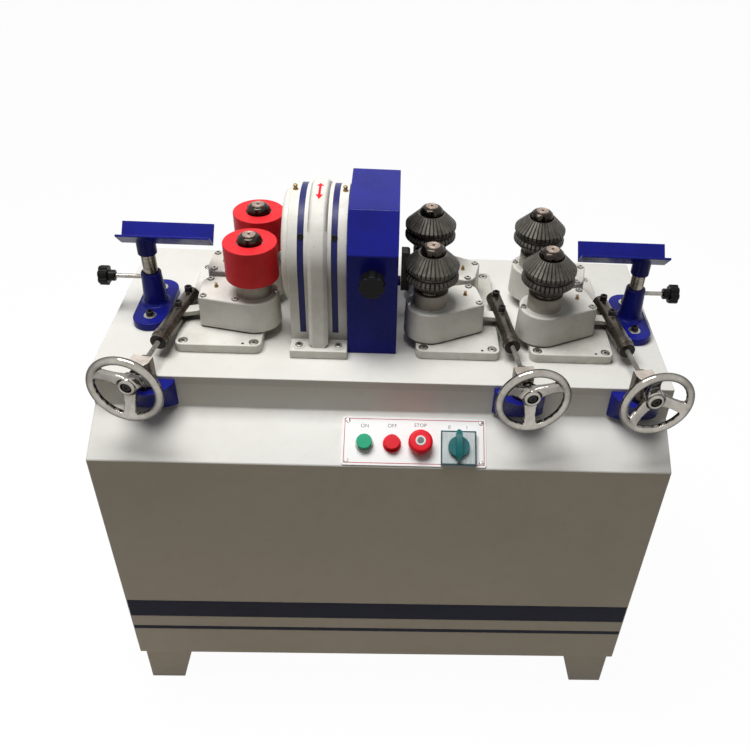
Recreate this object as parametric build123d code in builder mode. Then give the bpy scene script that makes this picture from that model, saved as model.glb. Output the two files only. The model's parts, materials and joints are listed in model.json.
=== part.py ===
"""Round-rod milling machine: a floor cabinet, three pairs of feed rollers and a hollow rotating cutterhead.

A square batten enters from +X, passes between the toothed rollers and through the cutterhead,
and leaves as a round rod between the smooth rollers at -X.
Millimetres, +X towards the infeed, +Y to the back, +Z up.
The origin is on the floor under the middle of the cabinet.
"""
import os
from math import asin, cos, pi, radians, sin
from typing import NamedTuple

from build123d import *

os.makedirs("parts", exist_ok=True)

# Cabinet
CABINET_WIDTH = 980.0
CABINET_DEPTH = 496.0
TABLE_HEIGHT = 763.0
TABLE_THICK = 16.0
RISER_HEIGHT = 49.0
LEDGE_RUN = 86.0
LEDGE_RISE = 48.0
SHEET = 3.0
FOOT_HEIGHT = 102.0
FOOT_TOP = 96.0
FOOT_SOLE = 68.0
FOOT_DEPTH = 70.0
FOOT_INSET = 8.0
FOOT_WALL = 5.0
REAR_DOOR_WIDTH = 620.0
REAR_DOOR_HEIGHT = 420.0
REAR_DOOR_LAP = 15.0

# Feed line
FEED_Y = 36.0
FEED_HEIGHT = 143.0
ROD_MIN = 8.0
ROD_MAX = 60.0
PASSAGE_R = 33.0

# Fits between pieces
RUNNING = 0.05
FREE = 0.4

# Feed units: base plate, two swing arms and two rollers
OUTFEED_X = -289.0
MIDDLE_X = 122.5
INFEED_X = 322.0
OUTFEED_SPACING = 107.0
MIDDLE_SPACING = 139.0
INFEED_SPACING = 137.0
PLATE_WIDTH = 146.0
PLATE_DEPTH = 264.0
PLATE_THICK = 17.0
PLATE_CORNER = 12.0
PLATE_SCREW_INSET = 13.0
PIVOT_SHIFT = 11.0
PIVOT_GAUGE = 38.0
ARM_LENGTH = 69.0
ARM_LIFT = 3.0
ARM_HEIGHT = 57.0
ARM_DRAFT = 2.0
ARM_NOSE_R = 44.5
ARM_INNER_R = 22.0
ARM_INNER_BACK = 9.0
ARM_INNER_SIDE = 8.0
ARM_CORNER_R = 8.0
ARM_CORNER_BACK = 11.0
ARM_CORNER_SIDE = 38.0
ARM_EDGE = 3.0
COLLAR_R = 30.0
COLLAR_HEIGHT = 28.0
COLLAR_FILLET = 2.0
SLEEVE_R = 16.0
SLEEVE_SHOULDER_R = 23.0
SLEEVE_HEIGHT = 42.0
ROLLER_R = 46.0
ROLLER_HEIGHT = 67.0
CONE_END_R = 25.0
CONE_RIM = 5.0
CONE_NOTCH = 5.0
CONE_NOTCH_R = 42.5
TEETH = 36
TOOTH_DEPTH = 2.6
TOOTH_GROOVE = 3.4
TYRE_R = 45.0
TYRE_HEIGHT = 66.0
TYRE_EDGE = 1.5
SHAFT_R = 12.5
SHAFT_SEAT_R = 15.0
SHAFT_IN_ARM = 62.0
SEAL_R = 26.0
SEAL_HEIGHT = 4.5
NUT_R = 20.0
NUT_HEIGHT = 16.0
NUT_EDGE = 5.0
NUT_SINK = 4.0
NUT_ROOM = 2.0
NUT_SLOT = 5.0
NUT_SLOTS = 4
SHAFT_END_R = 11.0
SHAFT_END_HEIGHT = 2.0

# Tension screws
LEVER = 69.0
LEVER_ANGLE = 30.2
SWIVEL_OUT = 16.0
SWIVEL_SIDE = 93.0
SCREW_LIFT = 32.0
SCREW_R = 4.0
SCREW_TIP = 129.0
BARREL_R = 14.0
BARREL_BACK = 62.0
BARREL_FRONT = 92.0
BARREL_COLLAR_R = 15.5
BARREL_COLLAR = 12.0
BARREL_COLLAR_AT = 70.0
BARREL_SLOT = 41.0
TONGUE = 9.0
TONGUE_WIDTH = 20.0
LINK_TRAVEL = 2.4
LINK_PLAY = 0.5
PIN_R = 4.0
CAP_R = 6.5
CAP_HEIGHT = 9.0
BRACKET_R = 44.0
BRACKET_TOE = 14.0
BRACKET_HEIGHT = 52.0
BRACKET_DROP = 6.0
SWIVEL_WIDTH = 34.0
SWIVEL_BACK = 12.0
SWIVEL_TOP = 13.0
SWIVEL_PIN_R = 9.0
SWIVEL_PIN = 16.0
THRUST_R = 10.0
THRUST = 6.0
WHEEL_R = 62.5
WHEEL_RIM_R = 7.0
WHEEL_DISH = 13.0
WHEEL_OUT = 47.0
WHEEL_HUB_R = 16.0
WHEEL_HUB = 24.0
WHEEL_SPOKES = 3
WHEEL_SPOKE_WIDTH = 17.0
WHEEL_SPOKE_THICK = 7.0

# Rod supports at both ends of the table
OUTFEED_POST_X = -422.0
OUTFEED_REST = 133.0
OUTFEED_KNOB_OUT = 74.0
INFEED_POST_X = 449.0
INFEED_REST = 126.0
INFEED_KNOB_OUT = 62.0
TROUGH_LENGTH = 157.0
TROUGH_SHIFT = 37.0
TROUGH_LEG = 38.0
TROUGH_WALL = 4.0
TROUGH_HUB_R = 16.5
TROUGH_HUB = 18.0
POST_R = 12.5
POST_IN_SOCKET = 38.0
SOCKET_R = 17.5
SOCKET_ROOT_R = 21.0
SOCKET_FILLET = 8.0
SOCKET_HEIGHT = 77.0
SOCKET_FOOT_WIDTH = 60.0
SOCKET_FOOT_LENGTH = 150.0
SOCKET_FOOT = 14.0
SOCKET_SCREWS = 92.0
CLAMP_DROP = 11.0
CLAMP_R = 4.0
KNOB_R = 17.5
KNOB_THICK = 16.0
KNOB_NECK_R = 10.0
KNOB_NECK = 11.0
KNOB_LOBES = 7
KNOB_FLUTE_R = 4.5

# Cutter housing and cover
HOUSING_X = -117.5
HOUSING_WIDTH = 97.0
HOUSING_R = 106.0
HOUSING_WALL = 12.0
RIB_R = 112.0
RIB_WIDTH = 32.0
RIB_FLAT = 20.0
RIB_TAPER = 40.0
RIB_FOOT = 8.0
FLANGE_DEPTH = 280.0
FLANGE_THICK = 16.0
FLANGE_SCREW_INSET = 15.0
END_COVER = 12.0
END_COVER_R = 96.0
END_COVER_EDGE = 8.0
COVER_GAP = 1.0
COVER_WIDTH = 83.0
COVER_FRONT = 120.0
COVER_BACK = 120.0
COVER_RISE = 107.0
COVER_SLOPE_RUN = 52.0
COVER_SLOPE_RISE = 56.0
COVER_FLAT = 151.0
COVER_SHEET = 3.0
COVER_BEND = 5.0
COVER_KNOB_R = 21.0
COVER_KNOB_THICK = 22.0
COVER_KNOB_RISE = 12.0
SPINDLE_GAP = 4.0
GUIDE_WIDTH = 22.0
GUIDE_HEIGHT = 78.0
GUIDE_LENGTH = 15.0
GUIDE_NOSE = 5.0
GUIDE_SCREW = 14.0
GUIDE_SPACER = 5.0
GUIDE_SPACER_R = 9.0

# Spindle, cutterhead and main drive
SPINDLE_R = 42.0
BEARING_R = 68.0
BEARING_WIDTH = 20.0
CUTTER_R = 84.0
CUTTER_WIDTH = 46.0
CUTTER_GAP = 6.0
CUTTER_SEAT = 24.0
CUTTER_MOUTH_R = 64.0
KNIVES = 4
KNIFE_THICK = 6.0
KNIFE_LENGTH = 28.0
KNIFE_WIDTH = 20.0
PULLEY_R = 75.0
PULLEY_WIDTH = 30.0
BELTS = 2
BELT_TOP = 10.0
BELT_DEPTH = 7.0
BELT_GROOVE = 9.0
BELT_PITCH = 13.0
SLOT_CORNER = 5.0
MOTOR_PULLEY_R = 55.0
MOTOR_R = 92.0
MOTOR_LENGTH = 250.0
MOTOR_AXIS = 112.0
MOTOR_GAP = 8.0
MOTOR_SHAFT_R = 14.0
MOTOR_SHAFT_IN = 40.0
MOTOR_FOOT_WIDTH = 220.0
MOTOR_FOOT = 14.0
GEARBOX = 120.0
GEARBOX_DROP = 4.0
GEARMOTOR_R = 55.0
GEARMOTOR_LENGTH = 170.0

# Controls on the sloping ledge
PANEL_WIDTH = 244.0
PANEL_HEIGHT = 86.0
PANEL_THICK = 2.0
PANEL_CORNER = 4.0
PANEL_X = 50.5
PANEL_UP = 45.0
CONTROL_UP = 40.0
SELECTOR_UP = 33.0
GREEN_X = -34.0
RED_X = 12.5
STOP_X = 60.5
SELECTOR_X = 125.0
CONTROL_R = 11.0
CONTROL_DEPTH = 42.0
STEM_R = 7.0
STEM_DEPTH = 30.0
BEZEL_R = 15.5
BEZEL_HEIGHT = 4.0
BUTTON_R = 13.0
BUTTON_PROUD = 6.0
BUTTON_EDGE = 1.0
BUTTON_TRAVEL = 4.0
STOP_R = 20.5
STOP_NECK_R = 15.0
STOP_CAP = 15.0
STOP_EDGE = 5.0
STOP_TRAVEL = 4.0
SELECTOR_SIZE = 59.0
SELECTOR_HEIGHT = 10.0
SELECTOR_DISC_R = 18.0
SELECTOR_DISC = 9.0
SELECTOR_GRIP = 58.0
SELECTOR_GRIP_WIDTH = 11.0
SELECTOR_GRIP_HEIGHT = 20.0

# Fastening screws
SCREW_HEAD_R = 6.5
SCREW_HEAD = 8.0
SCREW_SHANK_R = 4.0
SINK_R = 8.0
SINK_DEPTH = 9.0


class Unit(NamedTuple):
    """A feed unit: hand is 1 where its rollers lie towards -X of its pivots.

    The first spoke of its handwheel stands at spoke degrees from upright.
    """

    name: str
    hand: int
    x: float
    spacing: float
    toothed: bool
    spoke: float


UNITS = (
    Unit("outfeed", -1, OUTFEED_X, OUTFEED_SPACING, False, 180.0),
    Unit("middle", 1, MIDDLE_X, MIDDLE_SPACING, True, 180.0),
    Unit("infeed", 1, INFEED_X, INFEED_SPACING, True, 225.0),
)
ROWS = {"front": -1, "back": 1}


class Support(NamedTuple):
    """A rod support: side is 1 at the infeed end, rest is the trough's bottom above the table."""

    name: str
    side: int
    x: float
    rest: float
    knob_out: float


SUPPORTS = (
    Support("outfeed", -1, OUTFEED_POST_X, OUTFEED_REST, OUTFEED_KNOB_OUT),
    Support("infeed", 1, INFEED_POST_X, INFEED_REST, INFEED_KNOB_OUT),
)

# Places worked out from the driving sizes
FRONT_Y = -CABINET_DEPTH / 2
BACK_Y = CABINET_DEPTH / 2
RISER_Y = FRONT_Y + LEDGE_RUN
BODY_TOP = TABLE_HEIGHT - TABLE_THICK
LEDGE_TOP = BODY_TOP - RISER_HEIGHT
FRONT_HEIGHT = LEDGE_TOP - LEDGE_RISE
FEED_Z = TABLE_HEIGHT + FEED_HEIGHT
PLATE_TOP = TABLE_HEIGHT + PLATE_THICK
ARM_BOTTOM = PLATE_TOP + ARM_LIFT
ARM_TOP = ARM_BOTTOM + ARM_HEIGHT
COLLAR_TOP = ARM_TOP + COLLAR_HEIGHT
SCREW_Z = TABLE_HEIGHT + SCREW_LIFT
BRACKET_TOP = TABLE_HEIGHT - BRACKET_DROP
FEED_LINE = Axis((0, FEED_Y, FEED_Z), (1, 0, 0))
LEDGE = Plane(
    origin=(0, FRONT_Y, FRONT_HEIGHT), x_dir=(1, 0, 0), z_dir=(0, -LEDGE_RISE, LEDGE_RUN)
)
PANEL_FACE = LEDGE.offset(PANEL_THICK)
LEDGE_NORMAL = Axis(LEDGE.origin, LEDGE.z_dir)
MOTOR_Z = FOOT_HEIGHT + SHEET + MOTOR_AXIS
MOTOR_LEFT = HOUSING_X + PULLEY_WIDTH / 2 + MOTOR_GAP
GEARBOX_X = (UNITS[1].x + UNITS[2].x) / 2
PLATE_SCREW_X = PLATE_WIDTH / 2 - PLATE_SCREW_INSET
FLANGE_SCREW_X = HOUSING_WIDTH / 2 - FLANGE_SCREW_INSET
RIB_REACH = FLANGE_DEPTH / 2 - RIB_FOOT
SLOT_WIDTH = PULLEY_WIDTH + BELT_TOP
SLOT_LENGTH = 2 * (PULLEY_R + BELT_TOP)
CLAMP_Z = TABLE_HEIGHT + SOCKET_HEIGHT - CLAMP_DROP
HOUSING_LEFT = HOUSING_X - HOUSING_WIDTH / 2
HOUSING_RIGHT = HOUSING_X + HOUSING_WIDTH / 2
COVER_LEFT = HOUSING_RIGHT + COVER_GAP
COVER_RIGHT = COVER_LEFT + COVER_WIDTH
COVER_TOP = FEED_Z + COVER_RISE
COVER_FRONT_Y = FEED_Y - COVER_FRONT
COVER_BACK_RUN = COVER_FRONT + COVER_BACK - COVER_SLOPE_RUN - COVER_FLAT
COVER_BACK_RISE = COVER_BACK_RUN * COVER_SLOPE_RISE / COVER_SLOPE_RUN
COVER_KNOB_SEAT = Plane(
    origin=(COVER_LEFT + COVER_WIDTH / 2, COVER_FRONT_Y, FEED_Z + COVER_KNOB_RISE), z_dir=(0, -1, 0)
)
GUIDE_TRAVEL = (ROD_MAX - ROD_MIN) / 2
GUIDE_SCREW_Z = FEED_Z - ROD_MIN / 2 - GUIDE_HEIGHT + GUIDE_SCREW
GUIDE_SEAT = COVER_RIGHT + GUIDE_SPACER
CUTTER_LEFT = COVER_LEFT + COVER_SHEET + CUTTER_GAP
KNIFE_PLANE = Plane(origin=(CUTTER_LEFT + CUTTER_WIDTH, FEED_Y, FEED_Z), x_dir=(0, 1, 0), z_dir=(1, 0, 0))


def pivot(unit, row):
    """Where a swing arm's pivot stands on its base plate."""
    return Vector(unit.x + unit.hand * PIVOT_SHIFT, FEED_Y + row * PIVOT_GAUGE)


def roller_axis(unit, row):
    """Where a roller's axis stands at the unit's present opening."""
    swing = asin((unit.spacing / 2 - PIVOT_GAUGE) / ARM_LENGTH)
    return pivot(unit, row) + Vector(-unit.hand * ARM_LENGTH * cos(swing), row * ARM_LENGTH * sin(swing))


def arm_plane(unit, row, z):
    """The arm's own plane: origin at the pivot, x from the roller towards the pivot."""
    at, roller = pivot(unit, row), roller_axis(unit, row)
    return Plane(origin=(at.X, at.Y, z), x_dir=at - roller, z_dir=(0, 0, 1))


def lug_point(unit):
    """The bolt that joins a front arm to its tension barrel, at the height of the screw."""
    out = ROWS["front"] * unit.hand
    lever = Vector(LEVER * cos(radians(LEVER_ANGLE)), out * LEVER * sin(radians(LEVER_ANGLE)))
    return arm_plane(unit, ROWS["front"], SCREW_Z).from_local_coords(lever)


def swivel_point(unit):
    """The swivel block's upright axis where it crosses the screw."""
    return Vector(pivot(unit, 0).X + unit.hand * SWIVEL_SIDE, RISER_Y - SWIVEL_OUT, SCREW_Z)


def screw_plane(unit, along=0.0):
    """A plane square to the tension screw, its normal towards the barrel, along from the swivel axis."""
    at = swivel_point(unit)
    way = (lug_point(unit) - at).normalized()
    return Plane(origin=at + way * along, x_dir=(0, 0, 1), z_dir=way)


def level_screw_plane(unit):
    """A level plane through the tension screw, its x along the screw from the swivel axis to the barrel."""
    at = swivel_point(unit)
    return Plane(origin=at, x_dir=lug_point(unit) - at, z_dir=(0, 0, 1))


def upright(x, y, z=0.0):
    """An upright plane for turned profiles: x is the radius, y the height above z."""
    return Plane(origin=(x, y, z), x_dir=(1, 0, 0), z_dir=(0, -1, 0))


def arm_outline(out, inset=0.0):
    """A swing arm seen from above: a round nose for the roller and a squarer end round the pivot."""
    with BuildSketch(mode=Mode.PRIVATE) as outline:
        with BuildLine():
            CenterArc((-ARM_LENGTH, 0), ARM_NOSE_R - inset, 0, 360)
            CenterArc((ARM_INNER_BACK, -out * ARM_INNER_SIDE), ARM_INNER_R - inset, 0, 360)
            CenterArc((ARM_CORNER_BACK, out * ARM_CORNER_SIDE), ARM_CORNER_R - inset, 0, 360)
        make_hull()
    return outline.sketch


def star(tip, root):
    """A ring of teeth with flat lands at the tip radius and V-shaped grooves down to the root radius."""
    pitch = 2 * pi / TEETH
    land = (pitch - TOOTH_GROOVE / ROLLER_R) / 2
    with BuildSketch(mode=Mode.PRIVATE) as teeth:
        with BuildLine():
            Polyline(
                *[
                    (radius * cos(tooth * pitch + turn), radius * sin(tooth * pitch + turn))
                    for tooth in range(TEETH)
                    for radius, turn in ((tip, -land), (tip, land), (root, pitch / 2))
                ],
                close=True,
            )
        make_face()
    return teeth.sketch


def lobed(radius):
    """A star knob seen along its axis: a disc with round flutes."""
    with BuildSketch(mode=Mode.PRIVATE) as outline:
        Circle(radius)
        with PolarLocations(radius + KNOB_FLUTE_R / 2, KNOB_LOBES):
            Circle(KNOB_FLUTE_R, mode=Mode.SUBTRACT)
    return outline.sketch


def rib_outline():
    """The housing's middle rib seen along the feed line: round over the dome, straight down to the flange."""
    with BuildSketch(mode=Mode.PRIVATE) as outline:
        with BuildLine():
            CenterArc((0, 0), RIB_R, 0, 360)
            Line((-RIB_REACH, FLANGE_THICK - FEED_HEIGHT), (RIB_REACH, FLANGE_THICK - FEED_HEIGHT))
        make_hull()
    return outline.sketch


def knife_seats():
    """The knives' slots in the cutterhead's mouth, seen along the feed line."""
    with BuildSketch(mode=Mode.PRIVATE) as seats:
        with PolarLocations(SPINDLE_R + KNIFE_LENGTH / 2, KNIVES):
            Rectangle(KNIFE_LENGTH, KNIFE_THICK)
    return seats.sketch


def belt_loop(depth):
    """A belt's path round both pulleys, depth outside its inner face, in the plane across the feed line."""
    inner = FREE - BELT_GROOVE
    with BuildSketch(mode=Mode.PRIVATE) as loop:
        with BuildLine():
            CenterArc((FEED_Y, FEED_Z), PULLEY_R + inner + depth, 0, 360)
            CenterArc((FEED_Y, MOTOR_Z), MOTOR_PULLEY_R + inner + depth, 0, 360)
        make_hull()
    return loop.sketch


def save(piece, name):
    piece.part.label = name
    export_step(piece.part, f"parts/{name}.step")


belt_shifts = [(belt - (BELTS - 1) / 2) * BELT_PITCH for belt in range(BELTS)]
control_places = [(GREEN_X, CONTROL_UP), (RED_X, CONTROL_UP), (STOP_X, CONTROL_UP), (SELECTOR_X, SELECTOR_UP)]
plate_screws = [
    (unit.x + side * PLATE_SCREW_X, FEED_Y + row * (PLATE_DEPTH / 2 - PLATE_SCREW_INSET))
    for unit in UNITS
    for side in (-1, 1)
    for row in ROWS.values()
]
flange_screws = [
    (HOUSING_X + side * FLANGE_SCREW_X, FEED_Y + row * (FLANGE_DEPTH / 2 - FLANGE_SCREW_INSET))
    for side in (-1, 1)
    for row in ROWS.values()
]
socket_screws = [
    (support.x, FEED_Y + row * SOCKET_SCREWS / 2) for support in SUPPORTS for row in ROWS.values()
]

# Cabinet of folded sheet, open at the top under the table
with BuildPart() as cabinet:
    with BuildSketch(Plane.YZ):
        with BuildLine():
            Polyline(
                (FRONT_Y, FOOT_HEIGHT),
                (FRONT_Y, FRONT_HEIGHT),
                (RISER_Y, LEDGE_TOP),
                (RISER_Y, BODY_TOP),
                (BACK_Y, BODY_TOP),
                (BACK_Y, FOOT_HEIGHT),
                close=True,
            )
        make_face()
    extrude(amount=CABINET_WIDTH / 2, both=True)
    offset(
        amount=-SHEET, openings=cabinet.faces().sort_by(Axis.Z)[-1], kind=Kind.INTERSECTION
    )
    with BuildSketch(LEDGE):
        with Locations(*control_places):
            Circle(CONTROL_R)
    extrude(amount=-2 * SHEET, mode=Mode.SUBTRACT)
    with BuildSketch(Plane.XZ.offset(-BACK_Y)):
        with Locations((0, (FOOT_HEIGHT + BODY_TOP) / 2)):
            Rectangle(REAR_DOOR_WIDTH - 2 * REAR_DOOR_LAP, REAR_DOOR_HEIGHT - 2 * REAR_DOOR_LAP)
    extrude(amount=2 * SHEET, mode=Mode.SUBTRACT)
save(cabinet, "cabinet")

# Four pressed feet, tapering to the sole on their inner side
with BuildPart() as cabinet_feet:
    outer = CABINET_WIDTH / 2 - FOOT_INSET
    with BuildSketch(Plane.XZ.offset(CABINET_DEPTH / 2 - FOOT_INSET)):
        with BuildLine():
            Polyline(
                (outer, 0),
                (outer, FOOT_HEIGHT),
                (outer - FOOT_TOP, FOOT_HEIGHT),
                (outer - FOOT_SOLE, 0),
                close=True,
            )
        make_face()
    extrude(amount=-FOOT_DEPTH)
    offset(
        amount=-FOOT_WALL, openings=cabinet_feet.faces().sort_by(Axis.Y)[-1], kind=Kind.INTERSECTION
    )
    mirror(about=Plane.XZ)
    mirror(about=Plane.YZ)
save(cabinet_feet, "cabinet_feet")

with BuildPart() as rear_door:
    with BuildSketch(Plane.XZ.offset(-BACK_Y)):
        with Locations((0, (FOOT_HEIGHT + BODY_TOP) / 2)):
            RectangleRounded(REAR_DOOR_WIDTH, REAR_DOOR_HEIGHT, PLATE_CORNER)
    extrude(amount=-SHEET)
save(rear_door, "rear_door")

# Table with the slot for the main belts
with BuildPart() as table_plate:
    with BuildSketch(Plane.XY.offset(BODY_TOP)):
        with Locations((0, (RISER_Y + BACK_Y) / 2)):
            Rectangle(CABINET_WIDTH, BACK_Y - RISER_Y)
        with Locations((HOUSING_X, FEED_Y)):
            RectangleRounded(SLOT_WIDTH, SLOT_LENGTH, SLOT_CORNER, mode=Mode.SUBTRACT)
        with Locations(*plate_screws, *flange_screws, *socket_screws):
            Circle(SCREW_SHANK_R + RUNNING, mode=Mode.SUBTRACT)
    extrude(amount=TABLE_THICK)
save(table_plate, "table_plate")

# Base plates of the three feed units
with BuildPart() as base_plates:
    with BuildSketch(Plane.XY.offset(TABLE_HEIGHT)):
        with Locations(*[(unit.x, FEED_Y) for unit in UNITS]):
            RectangleRounded(PLATE_WIDTH, PLATE_DEPTH, PLATE_CORNER)
    extrude(amount=PLATE_THICK)
    with Locations(*[Location((x, y, PLATE_TOP)) for x, y in plate_screws]):
        CounterBoreHole(SCREW_SHANK_R + RUNNING, SINK_R, SINK_DEPTH)
save(base_plates, "base_plates")

# Shouldered sleeves on the base plates, on which the arms swing
with BuildPart() as pivot_sleeves:
    for unit in UNITS:
        for row in ROWS.values():
            at = pivot(unit, row)
            with BuildSketch(Plane.XY.offset(PLATE_TOP)):
                with Locations((at.X, at.Y)):
                    Circle(SLEEVE_SHOULDER_R)
            extrude(amount=ARM_LIFT)
            with BuildSketch(Plane.XY.offset(ARM_BOTTOM)):
                with Locations((at.X, at.Y)):
                    Circle(SLEEVE_R)
            extrude(amount=SLEEVE_HEIGHT)
save(pivot_sleeves, "pivot_sleeves")

# Cast swing arms, each with a raised collar for the roller shaft
for unit in UNITS:
    for side, row in ROWS.items():
        out = row * unit.hand
        floor = arm_plane(unit, row, ARM_BOTTOM)
        with BuildPart() as arm:
            with BuildSketch(floor):
                add(arm_outline(out))
            with BuildSketch(arm_plane(unit, row, ARM_TOP)):
                add(arm_outline(out, inset=ARM_DRAFT))
            loft(ruled=True)
            fillet(arm.faces().sort_by(Axis.Z)[-1].edges(), ARM_EDGE)
            with BuildSketch(arm_plane(unit, row, ARM_TOP)):
                with Locations((-ARM_LENGTH, 0)):
                    Circle(COLLAR_R)
            extrude(amount=COLLAR_HEIGHT)
            rounds = arm.edges().filter_by(GeomType.CIRCLE)
            fillet(rounds.filter_by_position(Axis.Z, ARM_TOP, ARM_TOP), COLLAR_FILLET)
            if row == ROWS["front"]:
                reach = lug_point(unit)
                tongue = Plane(
                    origin=(reach.X, reach.Y, SCREW_Z), x_dir=reach - pivot(unit, row) - Vector(0, 0, SCREW_Z)
                )
                with BuildSketch(tongue):
                    with Locations((-LEVER / 2, 0)):
                        SlotCenterToCenter(LEVER, TONGUE_WIDTH)
                    SlotOverall(2 * (PIN_R + LINK_TRAVEL), 2 * (PIN_R + LINK_PLAY), mode=Mode.SUBTRACT)
                extrude(amount=TONGUE / 2, both=True)
            with BuildSketch(floor):
                Circle(SLEEVE_R + RUNNING)
            extrude(amount=SLEEVE_HEIGHT + FREE, mode=Mode.SUBTRACT)
            with BuildSketch(arm_plane(unit, row, COLLAR_TOP)):
                with Locations((-ARM_LENGTH, 0)):
                    Circle(SHAFT_R + RUNNING)
            extrude(amount=-SHAFT_IN_ARM, mode=Mode.SUBTRACT)
        save(arm, f"{unit.name}_{side}_arm")

# Roller shafts: journal, flinger over the collar, seat for the roller and slotted nut
for unit in UNITS:
    for side, row in ROWS.items():
        at = roller_axis(unit, row)
        nut = SEAL_HEIGHT + (ROLLER_HEIGHT if unit.toothed else TYRE_HEIGHT) - NUT_SINK
        with BuildPart() as shaft:
            with BuildSketch(upright(at.X, at.Y, COLLAR_TOP)) as profile:
                with BuildLine():
                    Polyline(
                        (0, -SHAFT_IN_ARM + FREE),
                        (SHAFT_R, -SHAFT_IN_ARM + FREE),
                        (SHAFT_R, FREE),
                        (SEAL_R, FREE),
                        (SEAL_R, SEAL_HEIGHT),
                        (SHAFT_SEAT_R, SEAL_HEIGHT),
                        (SHAFT_SEAT_R, nut),
                        (NUT_R, nut),
                        (NUT_R, nut + NUT_HEIGHT - NUT_EDGE),
                        (NUT_R - NUT_EDGE, nut + NUT_HEIGHT),
                        (SHAFT_END_R, nut + NUT_HEIGHT),
                        (SHAFT_END_R, nut + NUT_HEIGHT + SHAFT_END_HEIGHT),
                        (0, nut + NUT_HEIGHT + SHAFT_END_HEIGHT),
                        close=True,
                    )
                make_face()
            revolve(axis=Axis((at.X, at.Y, 0), (0, 0, 1)))
            with BuildSketch(Plane((at.X, at.Y, COLLAR_TOP + nut))):
                with PolarLocations(NUT_R, NUT_SLOTS):
                    Rectangle(NUT_SLOT, NUT_SLOT)
            extrude(amount=NUT_HEIGHT, mode=Mode.SUBTRACT)
        save(shaft, f"{unit.name}_{side}_shaft")

# Rollers: two toothed cones back to back on the infeed side, a smooth tyre on the outfeed side
for unit in UNITS:
    for side, row in ROWS.items():
        at = roller_axis(unit, row)
        low = COLLAR_TOP + SEAL_HEIGHT
        top = low + (ROLLER_HEIGHT if unit.toothed else TYRE_HEIGHT)
        with BuildPart() as roller:
            if unit.toothed:
                middle = low + ROLLER_HEIGHT / 2
                cone = ROLLER_HEIGHT / 2 - CONE_NOTCH / 2 - CONE_RIM - CONE_NOTCH
                for z, radius in (
                    (0, CONE_END_R),
                    (cone, ROLLER_R),
                    (cone + CONE_RIM, ROLLER_R),
                    (cone + CONE_RIM + CONE_NOTCH, CONE_NOTCH_R),
                ):
                    with BuildSketch(Plane((at.X, at.Y, low + z))):
                        add(star(radius, radius * (1 - TOOTH_DEPTH / ROLLER_R)))
                loft(ruled=True)
                with BuildSketch(Plane((at.X, at.Y, middle))):
                    Circle(CONE_NOTCH_R - TOOTH_DEPTH)
                extrude(amount=-CONE_NOTCH / 2)
                mirror(about=Plane.XY.offset(middle))
            else:
                with BuildSketch(Plane((at.X, at.Y, low))):
                    Circle(TYRE_R)
                extrude(amount=TYRE_HEIGHT)
                fillet(roller.edges(), TYRE_EDGE)
            with BuildSketch(Plane((at.X, at.Y, top))):
                Circle(SHAFT_SEAT_R)
            extrude(amount=low - top, mode=Mode.SUBTRACT)
            with BuildSketch(Plane((at.X, at.Y, top))):
                Circle(NUT_R + NUT_ROOM)
            extrude(amount=-NUT_SINK, mode=Mode.SUBTRACT)
        save(roller, f"{unit.name}_{side}_roller")

# Brackets on the cabinet's riser, half-round on top and drawn in below, each with an upright pin
with BuildPart() as screw_brackets:
    for unit in UNITS:
        at = swivel_point(unit)
        for z, depth in ((BRACKET_TOP, BRACKET_R), (BRACKET_TOP - BRACKET_HEIGHT, BRACKET_TOE)):
            with BuildSketch(Plane((at.X, RISER_Y, z))):
                Ellipse(BRACKET_R, depth)
                Rectangle(2 * BRACKET_R, BRACKET_R, align=(Align.CENTER, Align.MIN), mode=Mode.SUBTRACT)
        loft(ruled=True)
        with BuildSketch(Plane((at.X, at.Y, BRACKET_TOP))):
            Circle(SWIVEL_PIN_R)
        extrude(amount=SWIVEL_PIN)
save(screw_brackets, "screw_brackets")

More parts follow.
